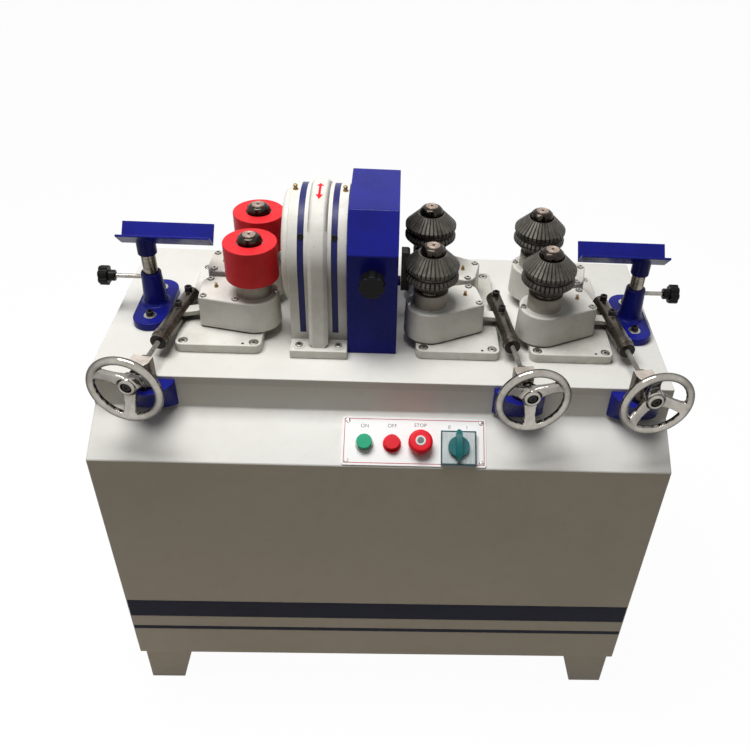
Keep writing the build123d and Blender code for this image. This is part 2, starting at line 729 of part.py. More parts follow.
# Swivel blocks, tension barrels and handwheels
for unit in UNITS:
    level = level_screw_plane(unit)
    reach = (lug_point(unit) - swivel_point(unit)).length
    screw_axis = Axis(level.origin, level.x_dir)
    with BuildPart() as swivel_block:
        with BuildSketch(level.offset(BRACKET_TOP - SCREW_Z)):
            Circle(SWIVEL_WIDTH / 2)
            Rectangle(SWIVEL_WIDTH, SWIVEL_WIDTH, align=(Align.MIN, Align.CENTER), mode=Mode.SUBTRACT)
            Rectangle(SWIVEL_BACK, SWIVEL_WIDTH, align=(Align.MIN, Align.CENTER))
        extrude(amount=SCREW_LIFT + BRACKET_DROP + SWIVEL_TOP)
        with BuildSketch(level.offset(BRACKET_TOP - SCREW_Z)):
            Circle(SWIVEL_PIN_R + RUNNING)
        extrude(amount=SWIVEL_PIN + FREE, mode=Mode.SUBTRACT)
        with BuildSketch(screw_plane(unit)):
            Circle(SCREW_R + RUNNING)
        extrude(amount=SWIVEL_WIDTH, both=True, mode=Mode.SUBTRACT)
    save(swivel_block, f"{unit.name}_swivel_block")

    with BuildPart() as handwheel:
        with BuildSketch(screw_plane(unit, -WHEEL_OUT)):
            with PolarLocations(WHEEL_R / 2, WHEEL_SPOKES, start_angle=unit.spoke):
                Rectangle(WHEEL_R, WHEEL_SPOKE_WIDTH)
        extrude(amount=WHEEL_HUB + WHEEL_DISH, both=True)
        with BuildSketch(level):
            with BuildLine():
                Polyline(
                    (-WHEEL_OUT - WHEEL_SPOKE_THICK / 2, 0),
                    (-WHEEL_OUT - WHEEL_DISH - WHEEL_SPOKE_THICK / 2, WHEEL_R - WHEEL_RIM_R),
                    (-WHEEL_OUT - WHEEL_DISH + WHEEL_SPOKE_THICK / 2, WHEEL_R - WHEEL_RIM_R),
                    (-WHEEL_OUT + WHEEL_SPOKE_THICK / 2, 0),
                    close=True,
                )
            make_face()
        revolve(axis=screw_axis, mode=Mode.INTERSECT)
        with BuildSketch(level):
            with Locations((-WHEEL_OUT - WHEEL_DISH, WHEEL_R - WHEEL_RIM_R)):
                Circle(WHEEL_RIM_R)
            with Locations((-WHEEL_OUT, 0)):
                Rectangle(WHEEL_HUB, WHEEL_HUB_R, align=(Align.CENTER, Align.MIN))
            with Locations((-WHEEL_OUT, 0)):
                Rectangle(WHEEL_OUT + SCREW_TIP, SCREW_R, align=Align.MIN)
            with Locations((-SWIVEL_WIDTH / 2 - FREE, 0)):
                Rectangle(THRUST, THRUST_R, align=(Align.MAX, Align.MIN))
            with Locations((SWIVEL_BACK + FREE, 0)):
                Rectangle(THRUST, THRUST_R, align=Align.MIN)
        revolve(axis=screw_axis)
    save(handwheel, f"{unit.name}_handwheel")

    with BuildPart() as barrel:
        with BuildSketch(level):
            with Locations((reach - BARREL_FRONT, 0)):
                Rectangle(BARREL_FRONT + BARREL_BACK, BARREL_R, align=Align.MIN)
            with Locations((reach - BARREL_COLLAR_AT, 0)):
                Rectangle(BARREL_COLLAR, BARREL_COLLAR_R, align=(Align.MAX, Align.MIN))
        revolve(axis=screw_axis)
        with BuildSketch(screw_plane(unit, reach - BARREL_FRONT)):
            Circle(SCREW_R + RUNNING)
        extrude(amount=BARREL_FRONT, mode=Mode.SUBTRACT)
        with BuildSketch(level.offset(-TONGUE / 2 - FREE)):
            with Locations((reach, 0)):
                Rectangle(BARREL_SLOT, 2 * BARREL_COLLAR_R)
        extrude(amount=TONGUE + 2 * FREE, mode=Mode.SUBTRACT)
        with BuildSketch(level):
            with Locations((reach, 0)):
                Circle(PIN_R)
        extrude(amount=TONGUE, both=True)
        with BuildSketch(level.offset(TONGUE)):
            with Locations((reach, 0), (reach + BARREL_BACK - BARREL_R, 0)):
                Circle(CAP_R)
        extrude(amount=BARREL_R + CAP_HEIGHT - TONGUE)
    save(barrel, f"{unit.name}_barrel")

# Rod supports: an angle-iron trough on a post that slides in a socket
for support in SUPPORTS:
    bottom = TABLE_HEIGHT + support.rest
    with BuildPart() as rod_support:
        with BuildSketch(Plane.YZ.offset(support.x - support.side * TROUGH_SHIFT)):
            with Locations(Location((FEED_Y, bottom), 45)):
                Rectangle(TROUGH_LEG, TROUGH_WALL, align=Align.MIN)
                Rectangle(TROUGH_WALL, TROUGH_LEG, align=Align.MIN)
        extrude(amount=TROUGH_LENGTH / 2, both=True)
        with BuildSketch(Plane((support.x, FEED_Y, bottom - TROUGH_HUB))):
            Circle(TROUGH_HUB_R)
        extrude(until=Until.NEXT)
        with BuildSketch(Plane((support.x, FEED_Y, bottom - TROUGH_HUB))):
            Circle(POST_R)
        extrude(amount=TABLE_HEIGHT + SOCKET_HEIGHT - POST_IN_SOCKET - bottom + TROUGH_HUB)
    save(rod_support, f"{support.name}_support")

    with BuildPart() as clamp_knob:
        tip = support.x + support.side * (POST_R + FREE)
        seat = Plane(origin=(tip, FEED_Y, CLAMP_Z), z_dir=(support.side, 0, 0))
        grip = seat.offset(support.knob_out - POST_R)
        with BuildSketch(seat):
            Circle(CLAMP_R)
        extrude(amount=support.knob_out - POST_R)
        with BuildSketch(grip.offset(-KNOB_NECK)):
            Circle(KNOB_NECK_R)
        extrude(amount=KNOB_NECK)
        with BuildSketch(grip):
            add(lobed(KNOB_R))
        extrude(amount=KNOB_THICK)
    save(clamp_knob, f"{support.name}_clamp_knob")

with BuildPart() as support_sockets:
    for support in SUPPORTS:
        with BuildSketch(Plane((support.x, FEED_Y, TABLE_HEIGHT))):
            SlotOverall(SOCKET_FOOT_LENGTH, SOCKET_FOOT_WIDTH, rotation=90)
            with Locations(*[(0, row * SOCKET_SCREWS / 2) for row in ROWS.values()]):
                Circle(SCREW_SHANK_R + RUNNING, mode=Mode.SUBTRACT)
        extrude(amount=SOCKET_FOOT)
        with BuildSketch(upright(support.x, FEED_Y, TABLE_HEIGHT)):
            with BuildLine():
                Polyline(
                    (0, 0),
                    (SOCKET_ROOT_R, 0),
                    (SOCKET_ROOT_R, SOCKET_FOOT),
                    (SOCKET_R, SOCKET_HEIGHT),
                    (0, SOCKET_HEIGHT),
                    close=True,
                )
            make_face()
        revolve(axis=Axis((support.x, FEED_Y, 0), (0, 0, 1)))
    foot_top = TABLE_HEIGHT + SOCKET_FOOT
    rounds = support_sockets.edges().filter_by_position(Axis.Z, foot_top, foot_top).filter_by(GeomType.CIRCLE)
    fillet(rounds.filter_by(lambda edge: abs(edge.radius - SOCKET_ROOT_R) < RUNNING), SOCKET_FILLET)
    for support in SUPPORTS:
        with BuildSketch(Plane((support.x, FEED_Y, TABLE_HEIGHT))):
            Circle(POST_R + RUNNING)
        extrude(amount=SOCKET_HEIGHT, mode=Mode.SUBTRACT)
        with BuildSketch(Plane(origin=(support.x, FEED_Y, CLAMP_Z), z_dir=(support.side, 0, 0))):
            Circle(CLAMP_R + RUNNING)
        extrude(amount=2 * SOCKET_ROOT_R, mode=Mode.SUBTRACT)
save(support_sockets, "support_sockets")

# Cutter housing: a domed casting round the spindle, with a middle rib that flares to the flange
with BuildPart() as cutter_housing:
    with BuildSketch(Plane.YZ.offset(HOUSING_LEFT)):
        with Locations((FEED_Y, FEED_Z)):
            Circle(HOUSING_R)
        with Locations((FEED_Y, TABLE_HEIGHT)):
            Rectangle(2 * HOUSING_R, FEED_HEIGHT, align=(Align.CENTER, Align.MIN))
            Rectangle(FLANGE_DEPTH, FLANGE_THICK, align=(Align.CENTER, Align.MIN))
    extrude(amount=HOUSING_WIDTH)
    for way in (-1, 1):
        middle = Plane(origin=(HOUSING_X, FEED_Y, FEED_Z), x_dir=(0, way, 0), z_dir=(way, 0, 0))
        with BuildSketch(middle):
            add(rib_outline())
        extrude(amount=RIB_FLAT / 2)
        with BuildSketch(middle.offset(RIB_FLAT / 2)):
            add(rib_outline())
        extrude(amount=(RIB_WIDTH - RIB_FLAT) / 2, taper=RIB_TAPER)
    with BuildSketch(Plane.YZ.offset(HOUSING_X)):
        with Locations((FEED_Y, FEED_Z)):
            Circle(HOUSING_R - HOUSING_WALL)
        with Locations((FEED_Y, TABLE_HEIGHT)):
            Rectangle(SLOT_LENGTH, FEED_HEIGHT, align=(Align.CENTER, Align.MIN))
    extrude(amount=HOUSING_WIDTH / 2 - BEARING_WIDTH, both=True, mode=Mode.SUBTRACT)
    with BuildSketch(Plane.YZ.offset(HOUSING_LEFT)):
        with Locations((FEED_Y, FEED_Z)):
            Circle(BEARING_R)
    extrude(amount=HOUSING_WIDTH, mode=Mode.SUBTRACT)
    with Locations(*[Location((x, y, TABLE_HEIGHT + FLANGE_THICK)) for x, y in flange_screws]):
        Hole(SCREW_SHANK_R + RUNNING, depth=FLANGE_THICK)
save(cutter_housing, "cutter_housing")

with BuildPart() as housing_end_cover:
    with BuildSketch(Plane.YZ.offset(HOUSING_LEFT - END_COVER)):
        with Locations((FEED_Y, FEED_Z)):
            Circle(END_COVER_R)
    extrude(amount=END_COVER)
    fillet(housing_end_cover.faces().sort_by(Axis.X)[0].edges(), END_COVER_EDGE)
    with BuildSketch(Plane.YZ.offset(HOUSING_LEFT - END_COVER)):
        with Locations((FEED_Y, FEED_Z)):
            Circle(PASSAGE_R)
    extrude(amount=END_COVER, mode=Mode.SUBTRACT)
save(housing_end_cover, "housing_end_cover")

with BuildPart() as spindle_bearings:
    for at in (HOUSING_LEFT, HOUSING_RIGHT - BEARING_WIDTH):
        with BuildSketch(Plane.YZ.offset(at)):
            with Locations((FEED_Y, FEED_Z)):
                Circle(BEARING_R)
                Circle(SPINDLE_R + RUNNING, mode=Mode.SUBTRACT)
        extrude(amount=BEARING_WIDTH)
save(spindle_bearings, "spindle_bearings")

# Sheet cover over the cutterhead, open below
with BuildPart() as cutter_cover:
    with BuildSketch(Plane.YZ.offset(COVER_LEFT)):
        with BuildLine():
            Polyline(
                (COVER_FRONT_Y, TABLE_HEIGHT),
                (COVER_FRONT_Y, COVER_TOP - COVER_SLOPE_RISE),
                (COVER_FRONT_Y + COVER_SLOPE_RUN, COVER_TOP),
                (COVER_FRONT_Y + COVER_SLOPE_RUN + COVER_FLAT, COVER_TOP),
                (FEED_Y + COVER_BACK, COVER_TOP - COVER_BACK_RISE),
                (FEED_Y + COVER_BACK, TABLE_HEIGHT),
                close=True,
            )
        make_face()
    extrude(amount=COVER_WIDTH)
    fillet(cutter_cover.edges().filter_by(Axis.X).group_by(Axis.Z)[1:], COVER_BEND)
    offset(amount=-COVER_SHEET, openings=cutter_cover.faces().sort_by(Axis.Z)[0])
    with BuildSketch(Plane.YZ.offset(COVER_LEFT)):
        with Locations((FEED_Y, FEED_Z)):
            Circle(SPINDLE_R + SPINDLE_GAP)
    extrude(amount=COVER_WIDTH / 2, mode=Mode.SUBTRACT)
    with BuildSketch(Plane.YZ.offset(COVER_LEFT + COVER_WIDTH / 2)):
        with Locations((FEED_Y, FEED_Z)):
            Circle(PASSAGE_R)
    extrude(amount=COVER_WIDTH, mode=Mode.SUBTRACT)
    with BuildSketch(COVER_KNOB_SEAT):
        Circle(CLAMP_R + RUNNING)
    extrude(amount=-2 * COVER_SHEET, mode=Mode.SUBTRACT)
    with BuildSketch(Plane.YZ.offset(GUIDE_SEAT)):
        with Locations((FEED_Y, GUIDE_SCREW_Z)):
            Circle(GUIDE_SPACER_R)
    extrude(amount=-GUIDE_SPACER)
    with BuildSketch(Plane.YZ.offset(GUIDE_SEAT)):
        with Locations((FEED_Y, GUIDE_SCREW_Z)):
            Circle(SCREW_SHANK_R)
    extrude(amount=-GUIDE_SPACER - 2 * COVER_SHEET, mode=Mode.SUBTRACT)
save(cutter_cover, "cutter_cover")

with BuildPart() as cover_knob:
    with BuildSketch(COVER_KNOB_SEAT.offset(-3 * COVER_SHEET)):
        Circle(CLAMP_R)
    extrude(amount=4 * COVER_SHEET)
    with BuildSketch(COVER_KNOB_SEAT.offset(FREE)):
        Circle(KNOB_NECK_R)
    extrude(amount=KNOB_NECK)
    with BuildSketch(COVER_KNOB_SEAT.offset(FREE + KNOB_NECK)):
        add(lobed(COVER_KNOB_R))
    extrude(amount=COVER_KNOB_THICK)
save(cover_knob, "cover_knob")

# Work rest under the batten in front of the cutterhead, set to height on its clamping screw
with BuildPart() as infeed_guide:
    with BuildSketch(Plane((GUIDE_SEAT + FREE, FEED_Y, FEED_Z - ROD_MIN / 2))):
        Rectangle(GUIDE_LENGTH, GUIDE_WIDTH, align=(Align.MIN, Align.CENTER))
    extrude(amount=-GUIDE_HEIGHT)
    fillet(infeed_guide.faces().sort_by(Axis.X)[-1].edges().filter_by(Axis.Y).sort_by(Axis.Z)[-1], GUIDE_NOSE)
    with BuildSketch(Plane.YZ.offset(GUIDE_SEAT)):
        with Locations((FEED_Y, GUIDE_SCREW_Z + GUIDE_TRAVEL / 2)):
            SlotCenterToCenter(GUIDE_TRAVEL, 2 * (SCREW_SHANK_R + FREE), rotation=90)
    extrude(amount=GUIDE_LENGTH + 2 * FREE, mode=Mode.SUBTRACT)
save(infeed_guide, "infeed_guide")

# Hollow spindle with its belt pulley, cutterhead and knives
with BuildPart() as spindle:
    with BuildSketch(Plane.YZ.offset(HOUSING_LEFT + FREE)):
        with Locations((FEED_Y, FEED_Z)):
            Circle(SPINDLE_R)
            Circle(PASSAGE_R, mode=Mode.SUBTRACT)
    extrude(amount=CUTTER_LEFT + CUTTER_SEAT - HOUSING_LEFT - FREE)
save(spindle, "spindle")

with BuildPart() as spindle_pulley:
    with BuildSketch(Plane.XY.offset(FEED_Z)):
        with Locations((HOUSING_X, FEED_Y + SPINDLE_R)):
            Rectangle(PULLEY_WIDTH, PULLEY_R - SPINDLE_R, align=(Align.CENTER, Align.MIN))
        with Locations(*[(HOUSING_X + shift, FEED_Y + PULLEY_R) for shift in belt_shifts]):
            Rectangle(BELT_TOP + 2 * FREE, BELT_GROOVE, align=(Align.CENTER, Align.MAX), mode=Mode.SUBTRACT)
    revolve(axis=FEED_LINE)
save(spindle_pulley, "spindle_pulley")

with BuildPart() as cutterhead:
    with BuildSketch(Plane.XY.offset(FEED_Z)):
        with BuildLine():
            Polyline(
                (CUTTER_LEFT, FEED_Y + SPINDLE_R),
                (CUTTER_LEFT, FEED_Y + CUTTER_R),
                (CUTTER_LEFT + CUTTER_WIDTH, FEED_Y + CUTTER_R),
                (CUTTER_LEFT + CUTTER_WIDTH, FEED_Y + CUTTER_MOUTH_R),
                (CUTTER_LEFT + CUTTER_SEAT, FEED_Y + SPINDLE_R),
                close=True,
            )
        make_face()
    revolve(axis=FEED_LINE)
    with BuildSketch(KNIFE_PLANE):
        add(knife_seats())
    extrude(amount=-KNIFE_WIDTH, mode=Mode.SUBTRACT)
save(cutterhead, "cutterhead")

with BuildPart() as cutter_knives:
    with BuildSketch(KNIFE_PLANE):
        add(knife_seats())
    extrude(amount=-KNIFE_WIDTH)
save(cutter_knives, "cutter_knives")

# Main motor on the cabinet floor, its pulley under the spindle's, and the belts between them
with BuildPart() as main_motor:
    with BuildSketch(Plane.YZ.offset(MOTOR_LEFT)):
        with Locations((FEED_Y, MOTOR_Z)):
            Circle(MOTOR_R)
        with Locations((FEED_Y, MOTOR_Z - MOTOR_AXIS)):
            Rectangle(MOTOR_R, MOTOR_AXIS, align=(Align.CENTER, Align.MIN))
            Rectangle(MOTOR_FOOT_WIDTH, MOTOR_FOOT, align=(Align.CENTER, Align.MIN))
    extrude(amount=MOTOR_LENGTH)
    with BuildSketch(Plane.YZ.offset(MOTOR_LEFT)):
        with Locations((FEED_Y, MOTOR_Z)):
            Circle(MOTOR_SHAFT_R + RUNNING)
    extrude(amount=MOTOR_SHAFT_IN + FREE, mode=Mode.SUBTRACT)
save(main_motor, "main_motor")

with BuildPart() as motor_pulley:
    with BuildSketch(Plane.XY.offset(MOTOR_Z)):
        with Locations((HOUSING_X, FEED_Y)):
            Rectangle(PULLEY_WIDTH, MOTOR_PULLEY_R, align=(Align.CENTER, Align.MIN))
        with Locations((MOTOR_LEFT + MOTOR_SHAFT_IN, FEED_Y)):
            Rectangle(MOTOR_LEFT + MOTOR_SHAFT_IN - HOUSING_X, MOTOR_SHAFT_R, align=(Align.MAX, Align.MIN))
        with Locations(*[(HOUSING_X + shift, FEED_Y + MOTOR_PULLEY_R) for shift in belt_shifts]):
            Rectangle(BELT_TOP + 2 * FREE, BELT_GROOVE, align=(Align.CENTER, Align.MAX), mode=Mode.SUBTRACT)
    revolve(axis=Axis((0, FEED_Y, MOTOR_Z), (1, 0, 0)))
save(motor_pulley, "motor_pulley")

with BuildPart() as drive_belts:
    for shift in belt_shifts:
        with BuildSketch(Plane.YZ.offset(HOUSING_X + shift)):
            add(belt_loop(BELT_DEPTH))
            add(belt_loop(0), mode=Mode.SUBTRACT)
        extrude(amount=BELT_TOP / 2, both=True)
save(drive_belts, "drive_belts")

# Feed gearmotor under the table
with BuildPart() as feed_gearmotor:
    with BuildSketch(Plane((GEARBOX_X, FEED_Y, BODY_TOP))):
        Rectangle(GEARBOX, GEARBOX)
    extrude(amount=-GEARBOX)
    with BuildSketch(Plane.YZ.offset(GEARBOX_X)):
        with Locations((FEED_Y, BODY_TOP - GEARBOX / 2 - GEARBOX_DROP)):
            Circle(GEARMOTOR_R)
    extrude(amount=GEARBOX / 2 + GEARMOTOR_LENGTH)
save(feed_gearmotor, "feed_gearmotor")

# Control panel on the ledge
with BuildPart() as control_plate:
    with BuildSketch(LEDGE):
        with Locations((PANEL_X, PANEL_UP)):
            RectangleRounded(PANEL_WIDTH, PANEL_HEIGHT, PANEL_CORNER)
        with Locations(*control_places):
            Circle(CONTROL_R, mode=Mode.SUBTRACT)
    extrude(amount=PANEL_THICK)
save(control_plate, "control_plate")

# Fixed bodies of the controls, each through its hole in the panel and the ledge
with BuildPart() as control_bodies:
    with BuildSketch(PANEL_FACE):
        with Locations((GREEN_X, CONTROL_UP), (RED_X, CONTROL_UP)):
            Circle(BEZEL_R)
        with Locations((STOP_X, CONTROL_UP)):
            Circle(STOP_NECK_R)
        with Locations((SELECTOR_X, SELECTOR_UP)):
            Rectangle(SELECTOR_SIZE, SELECTOR_SIZE)
    extrude(amount=BEZEL_HEIGHT)
    with BuildSketch(PANEL_FACE):
        with Locations((SELECTOR_X, SELECTOR_UP)):
            Rectangle(SELECTOR_SIZE, SELECTOR_SIZE)
    extrude(amount=SELECTOR_HEIGHT)
    with BuildSketch(PANEL_FACE):
        with Locations(*control_places):
            Circle(CONTROL_R)
    extrude(amount=-CONTROL_DEPTH)
    with BuildSketch(PANEL_FACE.offset(SELECTOR_HEIGHT)):
        with Locations(*control_places):
            Circle(STEM_R + RUNNING)
    extrude(amount=-SELECTOR_HEIGHT - STEM_DEPTH - BUTTON_TRAVEL, mode=Mode.SUBTRACT)
save(control_bodies, "control_bodies")

for name, x in (("start_button", GREEN_X), ("stop_button", RED_X)):
    with BuildPart() as button:
        with BuildSketch(PANEL_FACE.offset(BEZEL_HEIGHT + BUTTON_TRAVEL + FREE)):
            with Locations((x, CONTROL_UP)):
                Circle(BUTTON_R)
        extrude(amount=BUTTON_PROUD)
        with BuildSketch(PANEL_FACE.offset(BEZEL_HEIGHT + BUTTON_TRAVEL + FREE)):
            with Locations((x, CONTROL_UP)):
                Circle(STEM_R)
        extrude(amount=-STEM_DEPTH - BEZEL_HEIGHT - BUTTON_TRAVEL)
        fillet(button.faces().sort_by(LEDGE_NORMAL)[-1].edges(), BUTTON_EDGE)
    save(button, name)

with BuildPart() as emergency_stop:
    with BuildSketch(PANEL_FACE.offset(BEZEL_HEIGHT + STOP_TRAVEL + FREE)):
        with Locations((STOP_X, CONTROL_UP)):
            Circle(STOP_R)
    extrude(amount=STOP_CAP)
    fillet(emergency_stop.edges().group_by(LEDGE_NORMAL)[-1], STOP_EDGE)
    with BuildSketch(PANEL_FACE.offset(BEZEL_HEIGHT + STOP_TRAVEL + FREE)):
        with Locations((STOP_X, CONTROL_UP)):
            Circle(STEM_R)
    extrude(amount=-STEM_DEPTH - BEZEL_HEIGHT - STOP_TRAVEL)
save(emergency_stop, "emergency_stop")

with BuildPart() as selector_knob:
    with BuildSketch(PANEL_FACE.offset(SELECTOR_HEIGHT)):
        with Locations((SELECTOR_X, SELECTOR_UP)):
            Circle(SELECTOR_DISC_R)
    extrude(amount=SELECTOR_DISC)
    with BuildSketch(PANEL_FACE.offset(SELECTOR_HEIGHT)):
        with Locations((SELECTOR_X, SELECTOR_UP)):
            SlotOverall(SELECTOR_GRIP, SELECTOR_GRIP_WIDTH, rotation=90)
    extrude(amount=SELECTOR_GRIP_HEIGHT)
    with BuildSketch(PANEL_FACE.offset(SELECTOR_HEIGHT)):
        with Locations((SELECTOR_X, SELECTOR_UP)):
            Circle(STEM_R)
    extrude(amount=-SELECTOR_HEIGHT - STEM_DEPTH)
save(selector_knob, "selector_knob")

# Screws that hold the plates, the housing and the sockets to the table
with BuildPart() as mounting_screws:
    for seat, places in (
        (PLATE_TOP - SINK_DEPTH, plate_screws),
        (TABLE_HEIGHT + FLANGE_THICK, flange_screws),
        (TABLE_HEIGHT + SOCKET_FOOT, socket_screws),
    ):
        with BuildSketch(Plane.XY.offset(seat)):
            with Locations(*places):
                Circle(SCREW_HEAD_R)
        extrude(amount=SCREW_HEAD)
        with BuildSketch(Plane.XY.offset(seat)):
            with Locations(*places):
                Circle(SCREW_SHANK_R)
        extrude(amount=BODY_TOP - seat)
    with BuildSketch(Plane.YZ.offset(COVER_RIGHT - COVER_SHEET)):
        with Locations((FEED_Y, GUIDE_SCREW_Z)):
            Circle(SCREW_SHANK_R)
    extrude(amount=COVER_SHEET + GUIDE_SPACER + GUIDE_LENGTH + 2 * FREE)
    with BuildSketch(Plane.YZ.offset(GUIDE_SEAT + GUIDE_LENGTH + 2 * FREE)):
        with Locations((FEED_Y, GUIDE_SCREW_Z)):
            Circle(SCREW_HEAD_R)
    extrude(amount=SCREW_HEAD)
save(mounting_screws, "mounting_screws")
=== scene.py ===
"""Looks of the round-rod milling machine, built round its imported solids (Blender 4.5, metres)."""
import json
from contextlib import contextmanager
from math import cos, pi, radians, sin

import bmesh
import bpy
from mathutils import Matrix, Vector


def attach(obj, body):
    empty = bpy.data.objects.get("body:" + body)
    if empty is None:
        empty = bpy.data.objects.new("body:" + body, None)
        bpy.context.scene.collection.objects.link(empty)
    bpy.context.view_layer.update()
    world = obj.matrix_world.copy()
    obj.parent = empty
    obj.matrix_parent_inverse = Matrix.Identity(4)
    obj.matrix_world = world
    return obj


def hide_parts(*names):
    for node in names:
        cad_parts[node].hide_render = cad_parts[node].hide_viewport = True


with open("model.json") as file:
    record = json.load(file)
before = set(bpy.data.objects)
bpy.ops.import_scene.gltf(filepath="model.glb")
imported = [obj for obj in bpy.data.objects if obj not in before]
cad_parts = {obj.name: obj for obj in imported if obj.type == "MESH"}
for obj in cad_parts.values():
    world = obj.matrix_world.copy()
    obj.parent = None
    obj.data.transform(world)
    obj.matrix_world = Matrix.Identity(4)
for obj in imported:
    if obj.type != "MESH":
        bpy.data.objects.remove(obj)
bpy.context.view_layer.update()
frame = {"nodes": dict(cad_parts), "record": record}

MM = 0.001
UNITS = ("outfeed", "middle", "infeed")
ROWS = ("front", "back")
ENDS = ("outfeed", "infeed")


# Camera and stage

def place_camera():
    """The photograph's view: above the front, turned a little and leaning to one side."""
    lens = bpy.data.cameras.new("camera")
    lens.lens = 40.07
    lens.sensor_width = 36.0
    lens.shift_x = -0.0781
    camera = bpy.data.objects.new("camera", lens)
    bpy.context.scene.collection.objects.link(camera)
    eye = (0.0100, -1.2434, 1.6443)
    yaw, pitch, roll = radians(-3.62), radians(-38.54), radians(-3.89)
    camera.matrix_world = (
        Matrix.Translation(eye)
        @ Matrix.Rotation(yaw, 4, "Z")
        @ Matrix.Rotation(pitch, 4, "X")
        @ Matrix.Rotation(roll, 4, "Y")
        @ Matrix.Rotation(pi / 2, 4, "X")
    )
    bpy.context.scene.camera = camera


place_camera()


# Nodes and node groups

def srgb(red, green, blue):
    """The linear colour of a surface written as 8-bit sRGB."""
    levels = [value / 255 for value in (red, green, blue)]
    return tuple(v / 12.92 if v <= 0.04045 else ((v + 0.055) / 1.055) ** 2.4 for v in levels) + (1.0,)


def add(tree, kind, settings=None, inputs=None):
    """A shader node with its settings, each input set to a value or wired to a socket."""
    made = tree.nodes.new("ShaderNode" + kind)
    for key, value in (settings or {}).items():
        setattr(made, key, value)
    for key, value in (inputs or {}).items():
        if isinstance(value, bpy.types.NodeSocket):
            tree.links.new(value, made.inputs[key])
        else:
            made.inputs[key].default_value = value
    return made


def math(tree, operation, first, second=0.0):
    return add(tree, "Math", {"operation": operation, "use_clamp": True}, {0: first, 1: second}).outputs[0]


def spread(tree, value, low, high, to_low=0.0, to_high=1.0):
    """The value's stretch from low to high laid over the range from to_low to to_high."""
    ranged = add(tree, "MapRange", {"interpolation_type": "SMOOTHSTEP"}, {
        "Value": value, "From Min": low, "From Max": high, "To Min": to_low, "To Max": to_high})
    return ranged.outputs["Result"]


def blend(tree, share, first, second):
    """The first colour going over to the second; sockets 6, 7 and 2 of the node are its colours."""
    mixed = add(tree, "Mix", {"data_type": "RGBA", "clamp_result": True}, {0: share, 6: first, 7: second})
    return mixed.outputs[2]


def noise(tree, vector, scale, detail, roughness):
    return add(tree, "TexNoise", {}, {
        "Vector": vector, "Scale": scale, "Detail": detail, "Roughness": roughness}).outputs["Fac"]


def new_group(name, inputs, outputs):
    """A node group with named sockets: inputs are (label, kind, value), outputs are (label, kind)."""
    tree = bpy.data.node_groups.new(name, "ShaderNodeTree")
    for label, kind, value in inputs:
        socket = tree.interface.new_socket(label, in_out="INPUT", socket_type="NodeSocket" + kind)
        if value is not None:
            socket.default_value = value
    for label, kind in outputs:
        tree.interface.new_socket(label, in_out="OUTPUT", socket_type="NodeSocket" + kind)
    return tree, tree.nodes.new("NodeGroupInput").outputs, tree.nodes.new("NodeGroupOutput").inputs


def paint_film():
    """Sprayed paint: soft patches, fine mottling, specks and the film's orange peel."""
    tree, given, out = new_group("paint_film", (
        ("Vector", "Vector", None), ("Paint", "Color", (1, 1, 1, 1)), ("Dull Paint", "Color", (0.5, 0.5, 0.5, 1)),
        ("Patches", "Float", 3.0), ("Peel", "Float", 400.0), ("Smooth", "Float", 0.3), ("Rough", "Float", 0.45),
    ), (("Color", "Color"), ("Roughness", "Float"), ("Height", "Float")))
    patches = noise(tree, given["Vector"], given["Patches"], 4.0, 0.6)
    mottle = noise(tree, given["Vector"], 46.0, 6.0, 0.7)
    specks = noise(tree, given["Vector"], 170.0, 2.0, 0.5)
    tone = blend(tree, spread(tree, patches, 0.38, 0.75, 0.0, 0.75), given["Paint"], given["Dull Paint"])
    tone = blend(tree, spread(tree, mottle, 0.45, 0.8, 0.0, 0.35), tone, given["Dull Paint"])
    tone = blend(tree, spread(tree, specks, 0.70, 0.76, 0.0, 0.5), tone, given["Dull Paint"])
    tree.links.new(tone, out["Color"])
    rough = add(tree, "MapRange", {}, {
        "Value": mottle, "From Min": 0.3, "From Max": 0.7, "To Min": given["Smooth"], "To Max": given["Rough"]})
    tree.links.new(rough.outputs["Result"], out["Roughness"])
    peel = noise(tree, given["Vector"], given["Peel"], 3.0, 0.55)
    tree.links.new(peel, out["Height"])
    return tree


def grime_and_corner_shade():
    """A darker tone in corners and under edges, broken up by noise: partly settled dust and oil, partly painted shade.
    """
    tree, given, out = new_group("grime_and_corner_shade", (
        ("Vector", "Vector", None), ("Color", "Color", (1, 1, 1, 1)), ("Dirt_And_Shade", "Color", (0.1, 0.09, 0.07, 1)),
        ("Reach", "Float", 0.02), ("Amount", "Float", 0.5),
    ), (("Color", "Color"), ("Mask", "Float")))
    # Ambient occlusion finds corners, creases and undersides: the darkening laid there is painted shade.
    shade = add(tree, "AmbientOcclusion", {"samples": 6}, {"Distance": given["Reach"]}).outputs["AO"]
    corner = spread(tree, shade, 0.75, 0.15)
    cloud = spread(tree, noise(tree, given["Vector"], 30.0, 5.0, 0.65), 0.25, 0.7, 0.25, 1.0)
    mask = math(tree, "MULTIPLY", math(tree, "MULTIPLY", corner, cloud), given["Amount"])
    tree.links.new(blend(tree, mask, given["Color"], given["Dirt_And_Shade"]), out["Color"])
    tree.links.new(mask, out["Mask"])
    return tree


